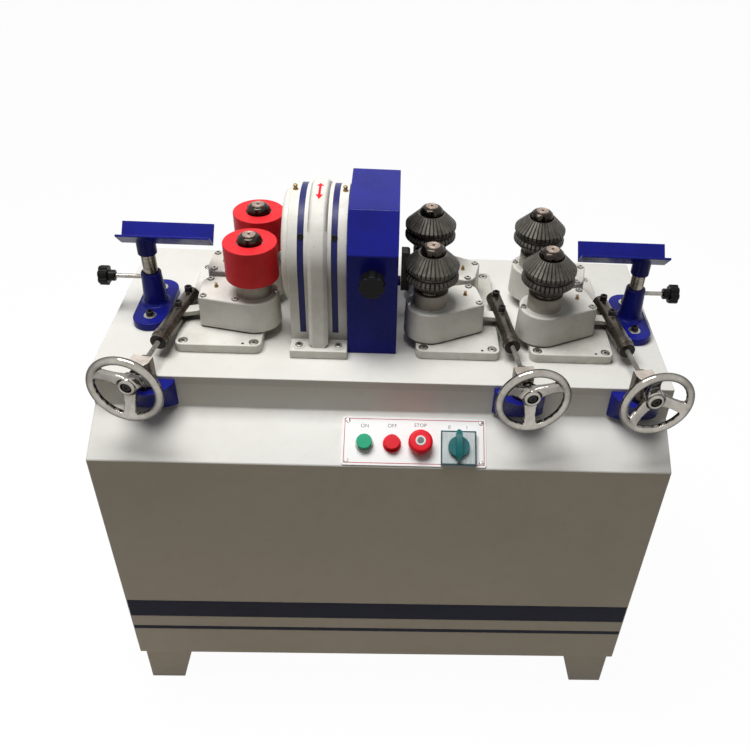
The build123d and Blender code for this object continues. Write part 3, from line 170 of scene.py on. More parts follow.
def edge_wear_and_glint():
    """Sharp edges, one on the edge and fading in broken spots: rubbed paint, and on metal rubbing together with a
    painted highlight where edges catch the light.
    """
    tree, given, out = new_group("edge_wear_and_glint", (
        ("Vector", "Vector", None), ("Width", "Float", 0.0015), ("Amount", "Float", 0.6),
    ), (("Mask", "Float"),))
    rounded = add(tree, "Bevel", {"samples": 6}, {"Radius": given["Width"]}).outputs["Normal"]
    true_normal = add(tree, "NewGeometry").outputs["Normal"]
    along = add(tree, "VectorMath", {"operation": "DOT_PRODUCT"}, {0: rounded, 1: true_normal}).outputs["Value"]
    edge = spread(tree, along, 0.985, 0.80)
    broken = spread(tree, noise(tree, given["Vector"], 120.0, 6.0, 0.7), 0.40, 0.62)
    tree.links.new(math(tree, "MULTIPLY", math(tree, "MULTIPLY", edge, broken), given["Amount"]), out["Mask"])
    return tree


def tool_marks():
    """Fine lines left by turning or grinding, drawn out along the stretched axis, with stains of oil."""
    tree, given, out = new_group("tool_marks", (
        ("Vector", "Vector", None), ("Stain Vector", "Vector", None), ("Dark", "Color", (0.1, 0.1, 0.1, 1)),
        ("Bright", "Color", (0.4, 0.4, 0.4, 1)), ("Smooth", "Float", 0.25), ("Rough", "Float", 0.5),
    ), (("Color", "Color"), ("Roughness", "Float"), ("Height", "Float")))
    lines = noise(tree, given["Vector"], 1.0, 4.0, 0.7)
    stains = noise(tree, given["Stain Vector"], 32.0, 5.0, 0.6)
    share = math(tree, "ADD", spread(tree, lines, 0.3, 0.7, 0.0, 0.65), spread(tree, stains, 0.35, 0.7, 0.0, 0.45))
    tree.links.new(blend(tree, share, given["Dark"], given["Bright"]), out["Color"])
    rough = add(tree, "MapRange", {}, {
        "Value": stains, "From Min": 0.3, "From Max": 0.7, "To Min": given["Smooth"], "To Max": given["Rough"]})
    tree.links.new(rough.outputs["Result"], out["Roughness"])
    tree.links.new(lines, out["Height"])
    return tree


PAINT_FILM, GRIME_AND_CORNER_SHADE, EDGE_WEAR_AND_GLINT, TOOL_MARKS = paint_film(), grime_and_corner_shade(), edge_wear_and_glint(), tool_marks()


# Materials

# Tones laid in corners and under edges: partly dust and oil, partly painted shade.
DUST_AND_SHADE, OIL_AND_SHADE = srgb(62, 56, 46), srgb(24, 20, 17)
HAND_RUB, TOOL_WEAR_AND_GLINT = 0.0014, 0.0008
MARK_DEPTH = 0.0002


def new_material(name):
    made = bpy.data.materials.new(name)
    made.use_nodes = True
    tree = made.node_tree
    coords = add(tree, "TexCoord").outputs["Object"]
    return made, tree, tree.nodes["Principled BSDF"], coords


def grouped(tree, group, inputs):
    return add(tree, "Group", {"node_tree": group}, inputs).outputs


def raise_surface(tree, shader, height, strength, depth):
    bump = add(tree, "Bump", {}, {"Height": height, "Strength": strength, "Distance": depth})
    tree.links.new(bump.outputs["Normal"], shader.inputs["Normal"])


def painted(name, paint, dull, patches, peel=420.0, bump=0.12, depth=0.0004, smooth=0.3, rough=0.45,
            dirt_and_shade=0.5, reach=0.025, rub=0.0, bare=(120, 116, 110), specular=0.5):
    """A painted surface: film, a darker tone in the corners that is partly dust and partly painted shade and, where rub
    is set, rubbed edges.
    """
    made, tree, shader, coords = new_material(name)
    film = grouped(tree, PAINT_FILM, {
        "Vector": coords, "Paint": srgb(*paint), "Dull Paint": srgb(*dull), "Patches": patches, "Peel": peel,
        "Smooth": smooth, "Rough": rough})
    # Corners and undersides darkened: dust and painted shade.
    soiled_and_shaded = grouped(tree, GRIME_AND_CORNER_SHADE, {
        "Vector": coords, "Color": film["Color"], "Dirt_And_Shade": DUST_AND_SHADE, "Reach": reach, "Amount": dirt_and_shade})
    colour = soiled_and_shaded["Color"]
    if rub:
        edge_tone = grouped(tree, EDGE_WEAR_AND_GLINT, {"Vector": coords, "Width": HAND_RUB, "Amount": rub})
        colour = blend(tree, edge_tone["Mask"], colour, srgb(*bare))
    tree.links.new(colour, shader.inputs["Base Color"])
    tree.links.new(film["Roughness"], shader.inputs["Roughness"])
    shader.inputs["Specular IOR Level"].default_value = specular
    raise_surface(tree, shader, film["Height"], bump, depth)
    return made


def metal(name, dark, bright, stretch, smooth, rough, bump, metallic=1.0, dirt_and_shade=0.0, rub=0.0, reach=0.012, edge=None):
    """A machined metal.

    Stretch gives the lines' fineness along each axis; edge is a painted reflection, the dark tone laid where a polished
    surface turns from the view.
    """
    made, tree, shader, coords = new_material(name)
    lines = add(tree, "Mapping", {}, {"Vector": coords, "Scale": stretch}).outputs["Vector"]
    marks = grouped(tree, TOOL_MARKS, {
        "Vector": lines, "Stain Vector": coords, "Dark": srgb(*dark), "Bright": srgb(*bright),
        "Smooth": smooth, "Rough": rough})
    colour = marks["Color"]
    # Corners and undersides darkened: oil and painted shade.
    if dirt_and_shade:
        colour = grouped(tree, GRIME_AND_CORNER_SHADE, {
            "Vector": coords, "Color": colour, "Dirt_And_Shade": OIL_AND_SHADE, "Reach": reach, "Amount": dirt_and_shade})["Color"]
    # Edges lightened towards the bright tone: rubbed metal and a painted highlight of edges catching the light,
    # strongest on the teeth.
    if rub:
        edge_tone = grouped(tree, EDGE_WEAR_AND_GLINT, {"Vector": coords, "Width": TOOL_WEAR_AND_GLINT, "Amount": rub})
        colour = blend(tree, edge_tone["Mask"], colour, srgb(*bright))
    # Painted reflection: the surface goes dark where it turns from the view, as if mirroring dark surroundings.
    if edge:
        away = add(tree, "LayerWeight", {}, {"Blend": 0.5}).outputs["Facing"]
        colour = blend(tree, spread(tree, away, 0.12, 0.7), colour, srgb(*edge))
    tree.links.new(colour, shader.inputs["Base Color"])
    tree.links.new(marks["Roughness"], shader.inputs["Roughness"])
    shader.inputs["Metallic"].default_value = metallic
    raise_surface(tree, shader, marks["Height"], bump, MARK_DEPTH)
    return made


def moulded(name, colour, dull, smooth, rough, grain=900.0, bump=0.05, specular=0.25):
    """Moulded plastic or rubber: a faint grain and handling marks in the gloss."""
    made, tree, shader, coords = new_material(name)
    film = grouped(tree, PAINT_FILM, {
        "Vector": coords, "Paint": srgb(*colour), "Dull Paint": srgb(*dull), "Patches": 24.0, "Peel": grain,
        "Smooth": smooth, "Rough": rough})
    tree.links.new(film["Color"], shader.inputs["Base Color"])
    tree.links.new(film["Roughness"], shader.inputs["Roughness"])
    shader.inputs["Specular IOR Level"].default_value = specular
    raise_surface(tree, shader, film["Height"], bump, MARK_DEPTH)
    return made


WHITE_SHEET = painted("white_sheet_paint", (240, 239, 233), (226, 223, 213), patches=2.2, dirt_and_shade=0.4, specular=0.25)
# A darker copy of the white sheet paint for the table top, which the lamp lights most: painted shade.
SHADED_TABLE_SHEET = painted("shaded_table_sheet_paint", (231, 230, 224), (217, 214, 204), patches=2.2, dirt_and_shade=0.4, specular=0.25)
WHITE_CASTING = painted("white_casting_paint", (229, 227, 220), (194, 189, 177), patches=9.0, peel=150.0, bump=0.30,
                        depth=0.0009, smooth=0.34, rough=0.5, dirt_and_shade=0.8, reach=0.032, rub=0.15, bare=(150, 146, 136),
                        specular=0.25)
BLUE_PAINT = painted("blue_paint", (28, 33, 136), (20, 25, 102), patches=8.0, peel=300.0, bump=0.08, smooth=0.18,
                     rough=0.32, dirt_and_shade=0.5, rub=0.45, bare=(136, 140, 176), specular=0.1)
# A darker copy of the casting paint for the collars under the rollers: oil and painted shade.
OILY_SHADED_CASTING = painted("oily_shaded_casting_paint", (196, 191, 180), (142, 134, 121), patches=16.0, peel=150.0, bump=0.30,
                       depth=0.0009, smooth=0.34, rough=0.5, dirt_and_shade=1.0, reach=0.05, specular=0.25)
NAVY_LINE = painted("navy_line_paint", (20, 22, 52), (14, 16, 40), patches=6.0, dirt_and_shade=0.2, specular=0.08)
NAVY_STRIPE = painted("navy_stripe_paint", (36, 40, 100), (28, 31, 80), patches=12.0, dirt_and_shade=0.3, rub=0.2,
                      bare=(140, 142, 160), specular=0.2)
BLACK_STEEL = metal("black_steel", (34, 33, 31), (70, 68, 62), stretch=(260, 260, 60), smooth=0.32, rough=0.5,
                    bump=0.2, metallic=0.8, dirt_and_shade=0.3, rub=0.6)
# The teeth: lightened edges are a painted highlight of edges catching the light; darkened grooves are painted shade
# together with oil.
TOOTHED_STEEL = metal("toothed_steel", (50, 48, 43), (94, 90, 82), stretch=(90, 90, 30), smooth=0.36, rough=0.52,
                      bump=0.12, metallic=0.5, dirt_and_shade=1.0, rub=0.8, reach=0.006)
NUT_STEEL = metal("nut_steel", (27, 24, 21), (66, 59, 53), stretch=(120, 120, 300), smooth=0.1, rough=0.24,
                  bump=0.05, metallic=0.9, dirt_and_shade=0.4, rub=0.5)
DARK_STEEL = metal("dark_steel", (50, 44, 39), (100, 91, 82), stretch=(120, 120, 300), smooth=0.16, rough=0.32,
                   bump=0.06, metallic=0.9, dirt_and_shade=0.5, rub=0.6)
COPPERY_STEEL = metal("coppery_steel", (138, 120, 108), (176, 158, 144), stretch=(500, 500, 60), smooth=0.3,
                      rough=0.46, bump=0.08, metallic=0.5, dirt_and_shade=0.6, reach=0.004)
BARREL_STEEL = metal("barrel_steel", (68, 63, 56), (112, 105, 96), stretch=(60, 60, 500), smooth=0.22, rough=0.36,
                     bump=0.08, metallic=0.9, dirt_and_shade=0.5, rub=0.5)
THREAD_STEEL = metal("thread_steel", (92, 90, 86), (150, 147, 140), stretch=(60, 60, 60), smooth=0.24, rough=0.4,
                     bump=0.05, dirt_and_shade=0.4)
MACHINED_TOP = metal("machined_top", (176, 164, 152), (214, 204, 194), stretch=(60, 900, 60), smooth=0.32,
                     rough=0.48, bump=0.1, metallic=0.5, dirt_and_shade=0.2)
POST_STEEL = metal("post_steel", (84, 78, 70), (160, 152, 142), stretch=(60, 60, 700), smooth=0.14, rough=0.28,
                   bump=0.06, dirt_and_shade=0.5)
TURNED_STEEL = metal("turned_steel", (104, 100, 94), (190, 186, 178), stretch=(60, 60, 900), smooth=0.18, rough=0.36,
                     bump=0.1, dirt_and_shade=0.4)
ZINC = metal("zinc_plate", (160, 158, 150), (204, 202, 194), stretch=(200, 200, 200), smooth=0.24, rough=0.4,
             bump=0.05, metallic=0.9, dirt_and_shade=0.7)
BRASS = metal("brass", (112, 88, 54), (152, 124, 84), stretch=(200, 200, 200), smooth=0.28, rough=0.44, bump=0.05,
              metallic=0.8, dirt_and_shade=0.5, reach=0.004)
BLACK_OXIDE = metal("black_oxide", (26, 25, 24), (52, 50, 47), stretch=(300, 300, 300), smooth=0.3, rough=0.45,
                    bump=0.1, metallic=0.7, dirt_and_shade=0.2, rub=0.5)
# Chrome's low, warm tone and dark rims stand for dark surroundings mirrored in it: painted reflection.
CHROME = metal("chrome", (150, 145, 137), (186, 181, 173), stretch=(40, 40, 40), smooth=0.04, rough=0.1, bump=0.01,
               dirt_and_shade=0.5, edge=(34, 31, 28))
RED_TYRE = moulded("red_tyre", (226, 40, 48), (198, 30, 36), smooth=0.4, rough=0.55, grain=500.0, bump=0.12)
BLACK_PLASTIC = moulded("black_plastic", (13, 13, 12), (9, 9, 8), smooth=0.26, rough=0.42, specular=0.14)
BELT_RUBBER = moulded("belt_rubber", (34, 33, 32), (24, 23, 22), smooth=0.6, rough=0.8)
MOTOR_PAINT = painted("motor_paint", (96, 118, 140), (78, 96, 116), patches=12.0, peel=160.0, bump=0.3, dirt_and_shade=0.6)
PANEL_WHITE = painted("panel_print", (252, 252, 251), (246, 246, 244), patches=8.0, dirt_and_shade=0.1, smooth=0.3, rough=0.4)
PRINT_RED = painted("panel_red_print", (186, 52, 62), (160, 40, 50), patches=30.0, dirt_and_shade=0.0)
PRINT_DARK = painted("panel_dark_print", (56, 54, 60), (42, 40, 46), patches=30.0, dirt_and_shade=0.0)
BUTTON_WHITE = moulded("button_white", (226, 228, 224), (206, 208, 204), smooth=0.3, rough=0.45)
SELECTOR_PLATE = metal("selector_plate", (140, 147, 148), (174, 180, 179), stretch=(500, 30, 30), smooth=0.34,
                       rough=0.5, bump=0.05, metallic=0.3, dirt_and_shade=0.3)
GREEN = moulded("button_green", (36, 176, 130), (28, 156, 112), smooth=0.28, rough=0.42, specular=0.15)
RED = moulded("button_red", (242, 26, 48), (224, 20, 40), smooth=0.26, rough=0.4, specular=0.15)
STOP_GREY = moulded("stop_grey", (112, 118, 114), (84, 90, 88), smooth=0.3, rough=0.45)
TEAL = moulded("selector_teal", (14, 104, 106), (10, 84, 88), smooth=0.2, rough=0.34)
TEAL_DARK = moulded("selector_rim_teal", (32, 78, 84), (24, 64, 70), smooth=0.3, rough=0.45)


# Modelling helpers

def select_only(*pieces):
    bpy.ops.object.select_all(action="DESELECT")
    for piece in pieces:
        piece.select_set(True)
    bpy.context.view_layer.objects.active = pieces[0]


@contextmanager
def editing(piece, kind="FACE"):
    """Edit mode on one piece, with nothing selected to begin with."""
    select_only(piece)
    bpy.ops.object.mode_set(mode="EDIT")
    bpy.ops.mesh.select_mode(type=kind)
    bpy.ops.mesh.select_all(action="DESELECT")
    yield
    bpy.ops.object.mode_set(mode="OBJECT")


def pick(piece, kind, test, chosen=True):
    """In edit mode, selects (or drops) the faces, edges or verts that pass the test."""
    mesh = bmesh.from_edit_mesh(piece.data)
    for element in getattr(mesh, kind):
        if test(element):
            element.select_set(chosen)
    mesh.select_flush_mode()
    bmesh.update_edit_mesh(piece.data)


def both_ends(edge, test):
    """Whether both ends of an edge, in millimetres, pass the test."""
    return all(test(vert.co / MM) for vert in edge.verts)


def draw_out(x, y, z):
    """In edit mode, extrudes the selection by a step in millimetres."""
    bpy.ops.mesh.extrude_region_move(TRANSFORM_OT_translate={"value": (x * MM, y * MM, z * MM)})


def face_outwards():
    """In edit mode, turns every face outwards."""
    bpy.ops.mesh.select_all(action="SELECT")
    bpy.ops.mesh.normals_make_consistent(inside=False)


def primitive(kind, name, **size):
    """A fresh primitive, alone in the selection."""
    bpy.ops.object.select_all(action="DESELECT")
    getattr(bpy.ops.mesh, f"primitive_{kind}_add")(**size)
    piece = bpy.context.object
    piece.name = name
    return piece


def block(name, x, y, z):
    """A box of that size in millimetres, round its own origin."""
    piece = primitive("cube", name, size=MM)
    with editing(piece):
        bpy.ops.mesh.select_all(action="SELECT")
        bpy.ops.transform.resize(value=(x, y, z))
    return piece


@contextmanager
def drawing(name, x, y, z):
    """Edit mode on a new piece that is one selected point, in millimetres, to extrude from."""
    piece = primitive("plane", name, size=MM)
    with editing(piece, "VERT"):
        bpy.ops.mesh.select_all(action="SELECT")
        bpy.ops.mesh.merge(type="CENTER")
        bpy.ops.mesh.select_all(action="SELECT")
        bpy.ops.transform.translate(value=(x * MM, y * MM, z * MM))
        yield piece


def turn(name, profile, steps=40):
    """A piece turned round its own Z; the profile gives (radius, height) in mm from the axis out and back to it."""
    with drawing(name, profile[0][0], 0, profile[0][1]) as piece:
        for (radius, height), (to_radius, to_height) in zip(profile, profile[1:]):
            draw_out(to_radius - radius, 0, to_height - height)
        bpy.ops.mesh.select_all(action="SELECT")
        bpy.ops.mesh.spin(steps=steps, angle=2 * pi, center=(0, 0, 0), axis=(0, 0, 1))
        bpy.ops.mesh.select_all(action="SELECT")
        bpy.ops.mesh.remove_doubles(threshold=1e-7)
        face_outwards()
    return piece


def set_at(piece, place):
    """Puts a piece in its place and fixes the place in its mesh."""
    select_only(piece)
    piece.matrix_world = place
    bpy.ops.object.transform_apply(location=True, rotation=True, scale=True)
    return piece


def join(name, pieces):
    select_only(*pieces)
    bpy.ops.object.join()
    pieces[0].name = name
    return pieces[0]


def copies(pattern, name, places, last=False):
    """The pattern set out at each place, every copy with its own mesh, joined as one; after its last use it goes."""
    made = []
    for place in places:
        select_only(pattern)
        bpy.ops.object.duplicate()
        made.append(set_at(bpy.context.object, place))
    if last:
        bpy.data.objects.remove(pattern)
    return join(name, made)


def at(x, y, z):
    """A level place, in millimetres."""
    return Matrix.Translation((x * MM, y * MM, z * MM))


def aimed(origin, forward, side):
    """A place in millimetres whose Z looks forward and whose X leans to the side."""
    z = Vector(forward).normalized()
    x = (Vector(side) - z * z.dot(Vector(side))).normalized()
    return Matrix.Translation(Vector(origin) * MM) @ Matrix((x, z.cross(x), z)).transposed().to_4x4()


def use_modifier(piece, kind, **settings):
    """Adds a modifier and applies it."""
    select_only(piece)
    made = piece.modifiers.new(kind.lower(), kind)
    for key, value in settings.items():
        setattr(made, key, value)
    bpy.ops.object.modifier_apply(modifier=made.name)


def carve(piece, cutter):
    """Cuts the cutter's shape out of the piece; the cutter goes."""
    use_modifier(piece, "BOOLEAN", operation="DIFFERENCE", solver="EXACT", object=cutter)
    bpy.data.objects.remove(cutter)


def smooth(piece, angle=35.0):
    select_only(piece)
    bpy.ops.object.shade_smooth_by_angle(angle=radians(angle))
    return piece


def bevel(width, segments):
    """In edit mode, rounds the selected edges by a width in millimetres."""
    bpy.ops.mesh.bevel(offset=width * MM, segments=segments, affect="EDGES", clamp_overlap=False, loop_slide=False)


def round_edges(piece, width, segments=2, angle=35.0, keep_sharp=None):
    """Rounds the edges sharper than the angle, but not those that pass keep_sharp, and keeps flat faces flat."""
    with editing(piece, "EDGE"):
        bpy.ops.mesh.edges_select_sharp(sharpness=radians(angle))
        if keep_sharp:
            pick(piece, "edges", keep_sharp, chosen=False)
        bevel(width, segments)
    smooth(piece, angle)
    use_modifier(piece, "WEIGHTED_NORMAL", mode="FACE_AREA", weight=60, keep_sharp=True)


def wear(piece, body, material, slot, *replaced):
    """Gives a finished piece its material and body and hides the nodes it stands for; the slot is not used."""
    piece.data.materials.clear()
    piece.data.materials.append(material)
    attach(piece, body)
    if replaced:
        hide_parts(*replaced)
    return piece


def paint_faces(piece, material, test):
    """Puts one more material on the faces whose centre (in mm) and normal pass the test."""
    piece.data.materials.append(material)
    index = len(piece.data.materials) - 1
    for face in piece.data.polygons:
        if test(face.center / MM, face.normal):
            face.material_index = index


BODY_OF = {node: body for body, nodes in frame["record"]["behaviour"]["bodies"].items() for node in nodes}
SLOT_OF = {part["node"]: part["material_slot"] for part in frame["record"]["subparts"]}


def take_shape(node):
    """A copy of a node's shape as one closed mesh with plain flat faces."""
    piece = bpy.data.objects.new(node + "_finished", frame["nodes"][node].data.copy())
    bpy.context.scene.collection.objects.link(piece)
    with editing(piece, "VERT"):
        bpy.ops.mesh.select_all(action="SELECT")
        bpy.ops.mesh.remove_doubles(threshold=1e-6)
        bpy.ops.mesh.dissolve_limited(angle_limit=radians(0.6))
    return piece


def soften(node, width, material, segments=2, angle=35.0, keep_sharp=None, cutter=None):
    """The node's own shape with its edges rounded, in place of the sharp solid."""
    piece = take_shape(node)
    if cutter:
        carve(piece, cutter)
    round_edges(piece, width, segments, angle, keep_sharp)
    return wear(piece, BODY_OF[node], material, SLOT_OF[node], node)


def dress(node, material):
    """A carried-over node keeps its shape and gets a finished material."""
    mesh = frame["nodes"][node].data
    mesh.materials.clear()
    mesh.materials.append(material)


# Stage: a white floor that keeps the shadow, soft light from above

WHITE = (1.0, 1.0, 1.0, 1.0)
WARM_BOUNCE = (0.34, 0.25, 0.13, 1.0)
SOFT_DAY = (1.0, 0.98, 0.95, 1.0)
FLOOR_GLOW, SHADOW_HIDDEN = 1.02, 0.95


def seen_rays(tree):
    """One where a ray shows the white surroundings, nought where they only light the machine."""
    rays = add(tree, "LightPath").outputs
    looked = math(tree, "ADD", rays["Is Camera Ray"], rays["Is Glossy Ray"])
    return math(tree, "ADD", looked, rays["Is Transmission Ray"])


def lay_floor():
    floor = primitive("plane", "floor", size=14.0)
    made, tree, shader, _coords = new_material("floor_white")
    seen = seen_rays(tree)
    bounce = add(tree, "BsdfDiffuse", {}, {"Color": WARM_BOUNCE}).outputs[0]
    shadowed = add(tree, "BsdfDiffuse", {}, {"Color": WHITE}).outputs[0]
    white = add(tree, "Emission", {}, {"Color": WHITE, "Strength": FLOOR_GLOW}).outputs[0]
    shown = add(tree, "MixShader", {}, {0: SHADOW_HIDDEN, 1: shadowed, 2: white}).outputs[0]
    mixed = add(tree, "MixShader", {}, {0: seen, 1: bounce, 2: shown}).outputs[0]
    tree.links.new(mixed, tree.nodes["Material Output"].inputs["Surface"])
    tree.nodes.remove(shader)
    floor.data.materials.append(made)


def light_world():
    world = bpy.data.worlds.new("studio")
    bpy.context.scene.world = world
    world.use_nodes = True
    tree = world.node_tree
    seen = seen_rays(tree)
    soft = tree.nodes["Background"]
    soft.inputs["Color"].default_value = SOFT_DAY
    soft.inputs["Strength"].default_value = 0.10
    white = add(tree, "Background", {}, {"Color": WHITE, "Strength": 1.0})
    mixed = add(tree, "MixShader", {}, {0: seen, 1: soft.outputs[0], 2: white.outputs[0]})
    tree.links.new(mixed.outputs[0], tree.nodes["World Output"].inputs["Surface"])


def hang_lamp(name, place, size, power, lean):
    """A rectangular lamp that looks down, leaning by some degrees round Y."""
    lamp = bpy.data.lights.new(name, "AREA")
    lamp.shape = "RECTANGLE"
    lamp.size, lamp.size_y = size
    lamp.energy = power
    holder = bpy.data.objects.new(name, lamp)
    bpy.context.scene.collection.objects.link(holder)
    holder.matrix_world = Matrix.Translation(place) @ Matrix.Rotation(radians(lean), 4, "Y")


lay_floor()
light_world()
hang_lamp("overhead", place=(-0.45, 0.0, 2.9), size=(1.4, 1.0), power=54.0, lean=-9.0)
bpy.context.scene.view_settings.view_transform = "Standard"


# Places taken over from the solids, in millimetres

PIVOT_X = {"outfeed": -300.0, "middle": 133.5, "infeed": 333.0}
PIVOT_Y = {"front": -2.0, "back": 74.0}
ROLLER_X = {"outfeed": -232.8, "middle": 72.1, "infeed": 271.1}
ROLLER_Y = {
    "outfeed": {"front": -17.5, "back": 89.5},
    "middle": {"front": -33.5, "back": 105.5},
    "infeed": {"front": -32.5, "back": 104.5},
}
ROLLER_TOP = {"outfeed": 938.5, "middle": 939.5, "infeed": 939.5}
PLATE_X = {"outfeed": -289.0, "middle": 122.5, "infeed": 322.0}
SWIVEL = {
    "outfeed": Vector((-393, -178, 795)),
    "middle": Vector((226.5, -178, 795)),
    "infeed": Vector((426, -178, 795)),
}
LUG = {
    "outfeed": Vector((-365.91, -22.43, 795)),
    "middle": Vector((202.4, -5.66, 795)),
    "infeed": Vector((401.83, -6.77, 795)),
}
SWIVEL_TOP = 806.0
SPOKE = {"outfeed": 180.0, "middle": 180.0, "infeed": 225.0}
POST_X = {"outfeed": -422.0, "infeed": 449.0}
SUPPORT_HUB = {"outfeed": 878.0, "infeed": 871.0}
KNOB_REACH = {"outfeed": 62.0, "infeed": 50.0}
FEED_Y, FEED_Z = 36.0, 906.0
TABLE_SEAM, TABLE_TOP, PLATE_TOP, ARM_TOP = 747.0, 763.0, 780.0, 840.0
BRACKET_LOW = 705.5
NUT_RISE, NUT_R, NUT_EDGE, NUT_DEPTH = 12.0, 20.0, 5.0, 15.0
NUT_BORE_R, SHAFT_END = 12.0, 2.0
TYRE_HUB_R = 22.4
HOUSING_X, DOME_R, RIB_HALF = -117.5, 106.0, 16.0
FRONT_Y, DOOR_Y = -248.05, 250.8
UP = Vector((0, 0, 1))
LEDGE = aimed((0, -248, 650), (0, -0.4874, 0.8732), (1, 0, 0))
PANEL_MIDDLE, STOP_MIDDLE, SELECTOR_MIDDLE = (50.5, 45), (60.5, 40), (125, 33)


def arm_place(unit, row, along, out, z):
    """A level place on a swing arm: along from the roller past the pivot, out to the arm's free side."""
    pivot = Vector((PIVOT_X[unit], PIVOT_Y[row], z))
    way = pivot - Vector((ROLLER_X[unit], ROLLER_Y[unit][row], z))
    free_side = (1 if unit == "outfeed" else -1) * (1 if row == "front" else -1)
    base = aimed(pivot, UP, way)
    return base @ at(along, out * free_side, 0)


def screw_place(unit):
    """The tension screw's own frame: Z along the screw from the swivel to the barrel, X up."""
    return aimed(SWIVEL[unit], LUG[unit] - SWIVEL[unit], UP)


# Small fittings, modelled once

def socket_screw(name, radius, height, hexagon):
    """A cap screw with a hexagon socket, standing on its place."""
    head = primitive("cylinder", name, vertices=32, radius=radius * MM, depth=height * MM)
    set_at(head, at(0, 0, height / 2))
    with editing(head, "EDGE"):
        pick(head, "edges", lambda edge: both_ends(edge, lambda end: end.z > height * 0.9))
        bpy.ops.mesh.bevel(offset=radius * 0.16 * MM, segments=2, affect="EDGES")
    key = primitive("cylinder", "key", vertices=6, radius=hexagon * MM, depth=height * MM)
    carve(head, set_at(key, at(0, 0, height * 1.05)))
    return smooth(head)


def washer(name, inner, outer, height):
    """A flat ring with a bevelled upper edge."""
    edge = height * 0.3
    profile = [(inner, 0), (outer, 0), (outer, height - edge), (outer - edge, height), (inner, height), (inner, 0)]
    return smooth(turn(name, profile, 36))


def slotted_screw(name, radius, height):
    """A low round-headed screw with a slot."""
    head = turn(name, [
        (0, 0), (radius, 0), (radius, height * 0.35), (radius * 0.8, height * 0.8), (radius * 0.4, height), (0, height),
    ], 24)
    blade = block("blade", radius * 3, radius * 0.28, height * 0.9)
    carve(head, set_at(blade, at(0, 0, height)))
    return smooth(head)


def grease_nipple(name):
    return smooth(turn(name, [
        (0, 0), (3.4, 0), (3.4, 2.4), (2.2, 2.8), (2.0, 5.2), (2.7, 6.0), (2.5, 7.6), (1.2, 8.4), (0, 8.4),
    ], 20))


PLATE_SCREW = socket_screw("plate_screw", radius=6.5, height=8.0, hexagon=3.4)
ARM_SCREW = socket_screw("arm_screw", radius=4.8, height=5.0, hexagon=2.5)
PANEL_SCREW = slotted_screw("panel_screw", radius=4.0, height=1.8)
NIPPLE = grease_nipple("nipple")


# Cabinet and table

def on_seam(edge):
    """The line where the table plate meets the cabinet: both faces run on there without a groove."""
    return both_ends(edge, lambda end: abs(end.z - TABLE_SEAM) < 0.5)


def in_sheet(edge):
    """The table's seam and the edges of the holes under the control plate, which stay as cut."""
    return on_seam(edge) or both_ends(edge, lambda end: abs(end.x) < 200 and end.y < -190 and end.z > 651)


soften("cabinet", 2.5, WHITE_SHEET, 3, keep_sharp=in_sheet)
soften("cabinet_feet", 1.5, WHITE_SHEET)
soften("rear_door", 0.8, WHITE_SHEET)
soften("table_plate", 1.5, SHADED_TABLE_SHEET, 3, keep_sharp=on_seam)
soften("base_plates", 1.6, WHITE_CASTING, 3)


def painted_band(name, low, high):
    """A band of paint across the cabinet's front, a film's thickness proud."""
    band = set_at(block(name, 974.8, 0.5, high - low), at(0, FRONT_Y, (low + high) / 2))
    round_edges(band, 0.1, 1)
    wear(band, "frame", NAVY_LINE, "blue_paint")


painted_band("front_band", 226, 275)
painted_band("front_line", 184, 194)

door_spots = [(x, z) for x in (-296, 0, 296) for z in (228.5, 620.5)] + [(x, 424.5) for x in (-296, 296)]
door_places = [aimed((x, DOOR_Y, z), (0, 1, 0), (1, 0, 1)) for x, z in door_spots]
wear(copies(PANEL_SCREW, "rear_door_screws", door_places), "frame", TURNED_STEEL, "steel")

# Every screw is left turned another way, by an angle taken from its place
plate_spots = [(PLATE_X[unit] + side, FEED_Y + row) for unit in UNITS for side in (-60, 60) for row in (-119, 119)]
plate_places = [at(x, y, PLATE_TOP - 9) @ Matrix.Rotation(x, 4, "Z") for x, y in plate_spots]
wear(copies(PLATE_SCREW, "plate_screws", plate_places), "frame", ZINC, "steel", "mounting_screws")
# A black disc level with the plate stands for each small drilled hole: painted shade for the hole's dark inside.
dark_hole_disc = smooth(turn("dark_hole_disc", [(0, -1.0), (2.4, -1.0), (2.4, 0.1), (0, 0.1)], 20))
dark_hole_places = [at(PLATE_X[unit] + 42, FEED_Y - 125, PLATE_TOP) for unit in UNITS]
wear(copies(dark_hole_disc, "plate_dark_holes", dark_hole_places, last=True), "frame", BLACK_OXIDE, "black_steel")


# Feed units

def finish_arm(unit, row):
    """A cast arm with its sunk cover screws, a screw at the nose, a grease nipple and a darker collar under the roller,
    oily and in painted shade.
    """
    node = f"{unit}_{row}_arm"
    spots = [(9, 36), (18, -17)] + ([(-47, 32)] if unit == "outfeed" else [])
    sink = primitive("cylinder", "sink", vertices=32, radius=6.2 * MM, depth=5 * MM)
    sinks = copies(sink, "sinks", [arm_place(unit, row, along, out, ARM_TOP) for along, out in spots], last=True)
    arm = soften(node, 0.8, WHITE_CASTING, angle=40.0, cutter=sinks)
    # The collar under the roller painted darker: oil and painted shade under the roller.
    paint_faces(arm, OILY_SHADED_CASTING, lambda centre, normal: centre.z > ARM_TOP + 1)
    screws = [arm_place(unit, row, along, out, ARM_TOP - 2.5) for along, out in spots]
    screws.append(arm_place(unit, row, -105, -10, ARM_TOP - 1.0))
    wear(copies(ARM_SCREW, node + "_screws", screws), BODY_OF[node], ZINC, "steel")
    nipple = copies(NIPPLE, f"{unit}_{row}_nipple", [arm_place(unit, row, -1.5, 4.6, ARM_TOP - 0.2)])
    wear(nipple, BODY_OF[node], BRASS, "brown_steel")


for unit in UNITS:
    for row in ROWS:
        finish_arm(unit, row)


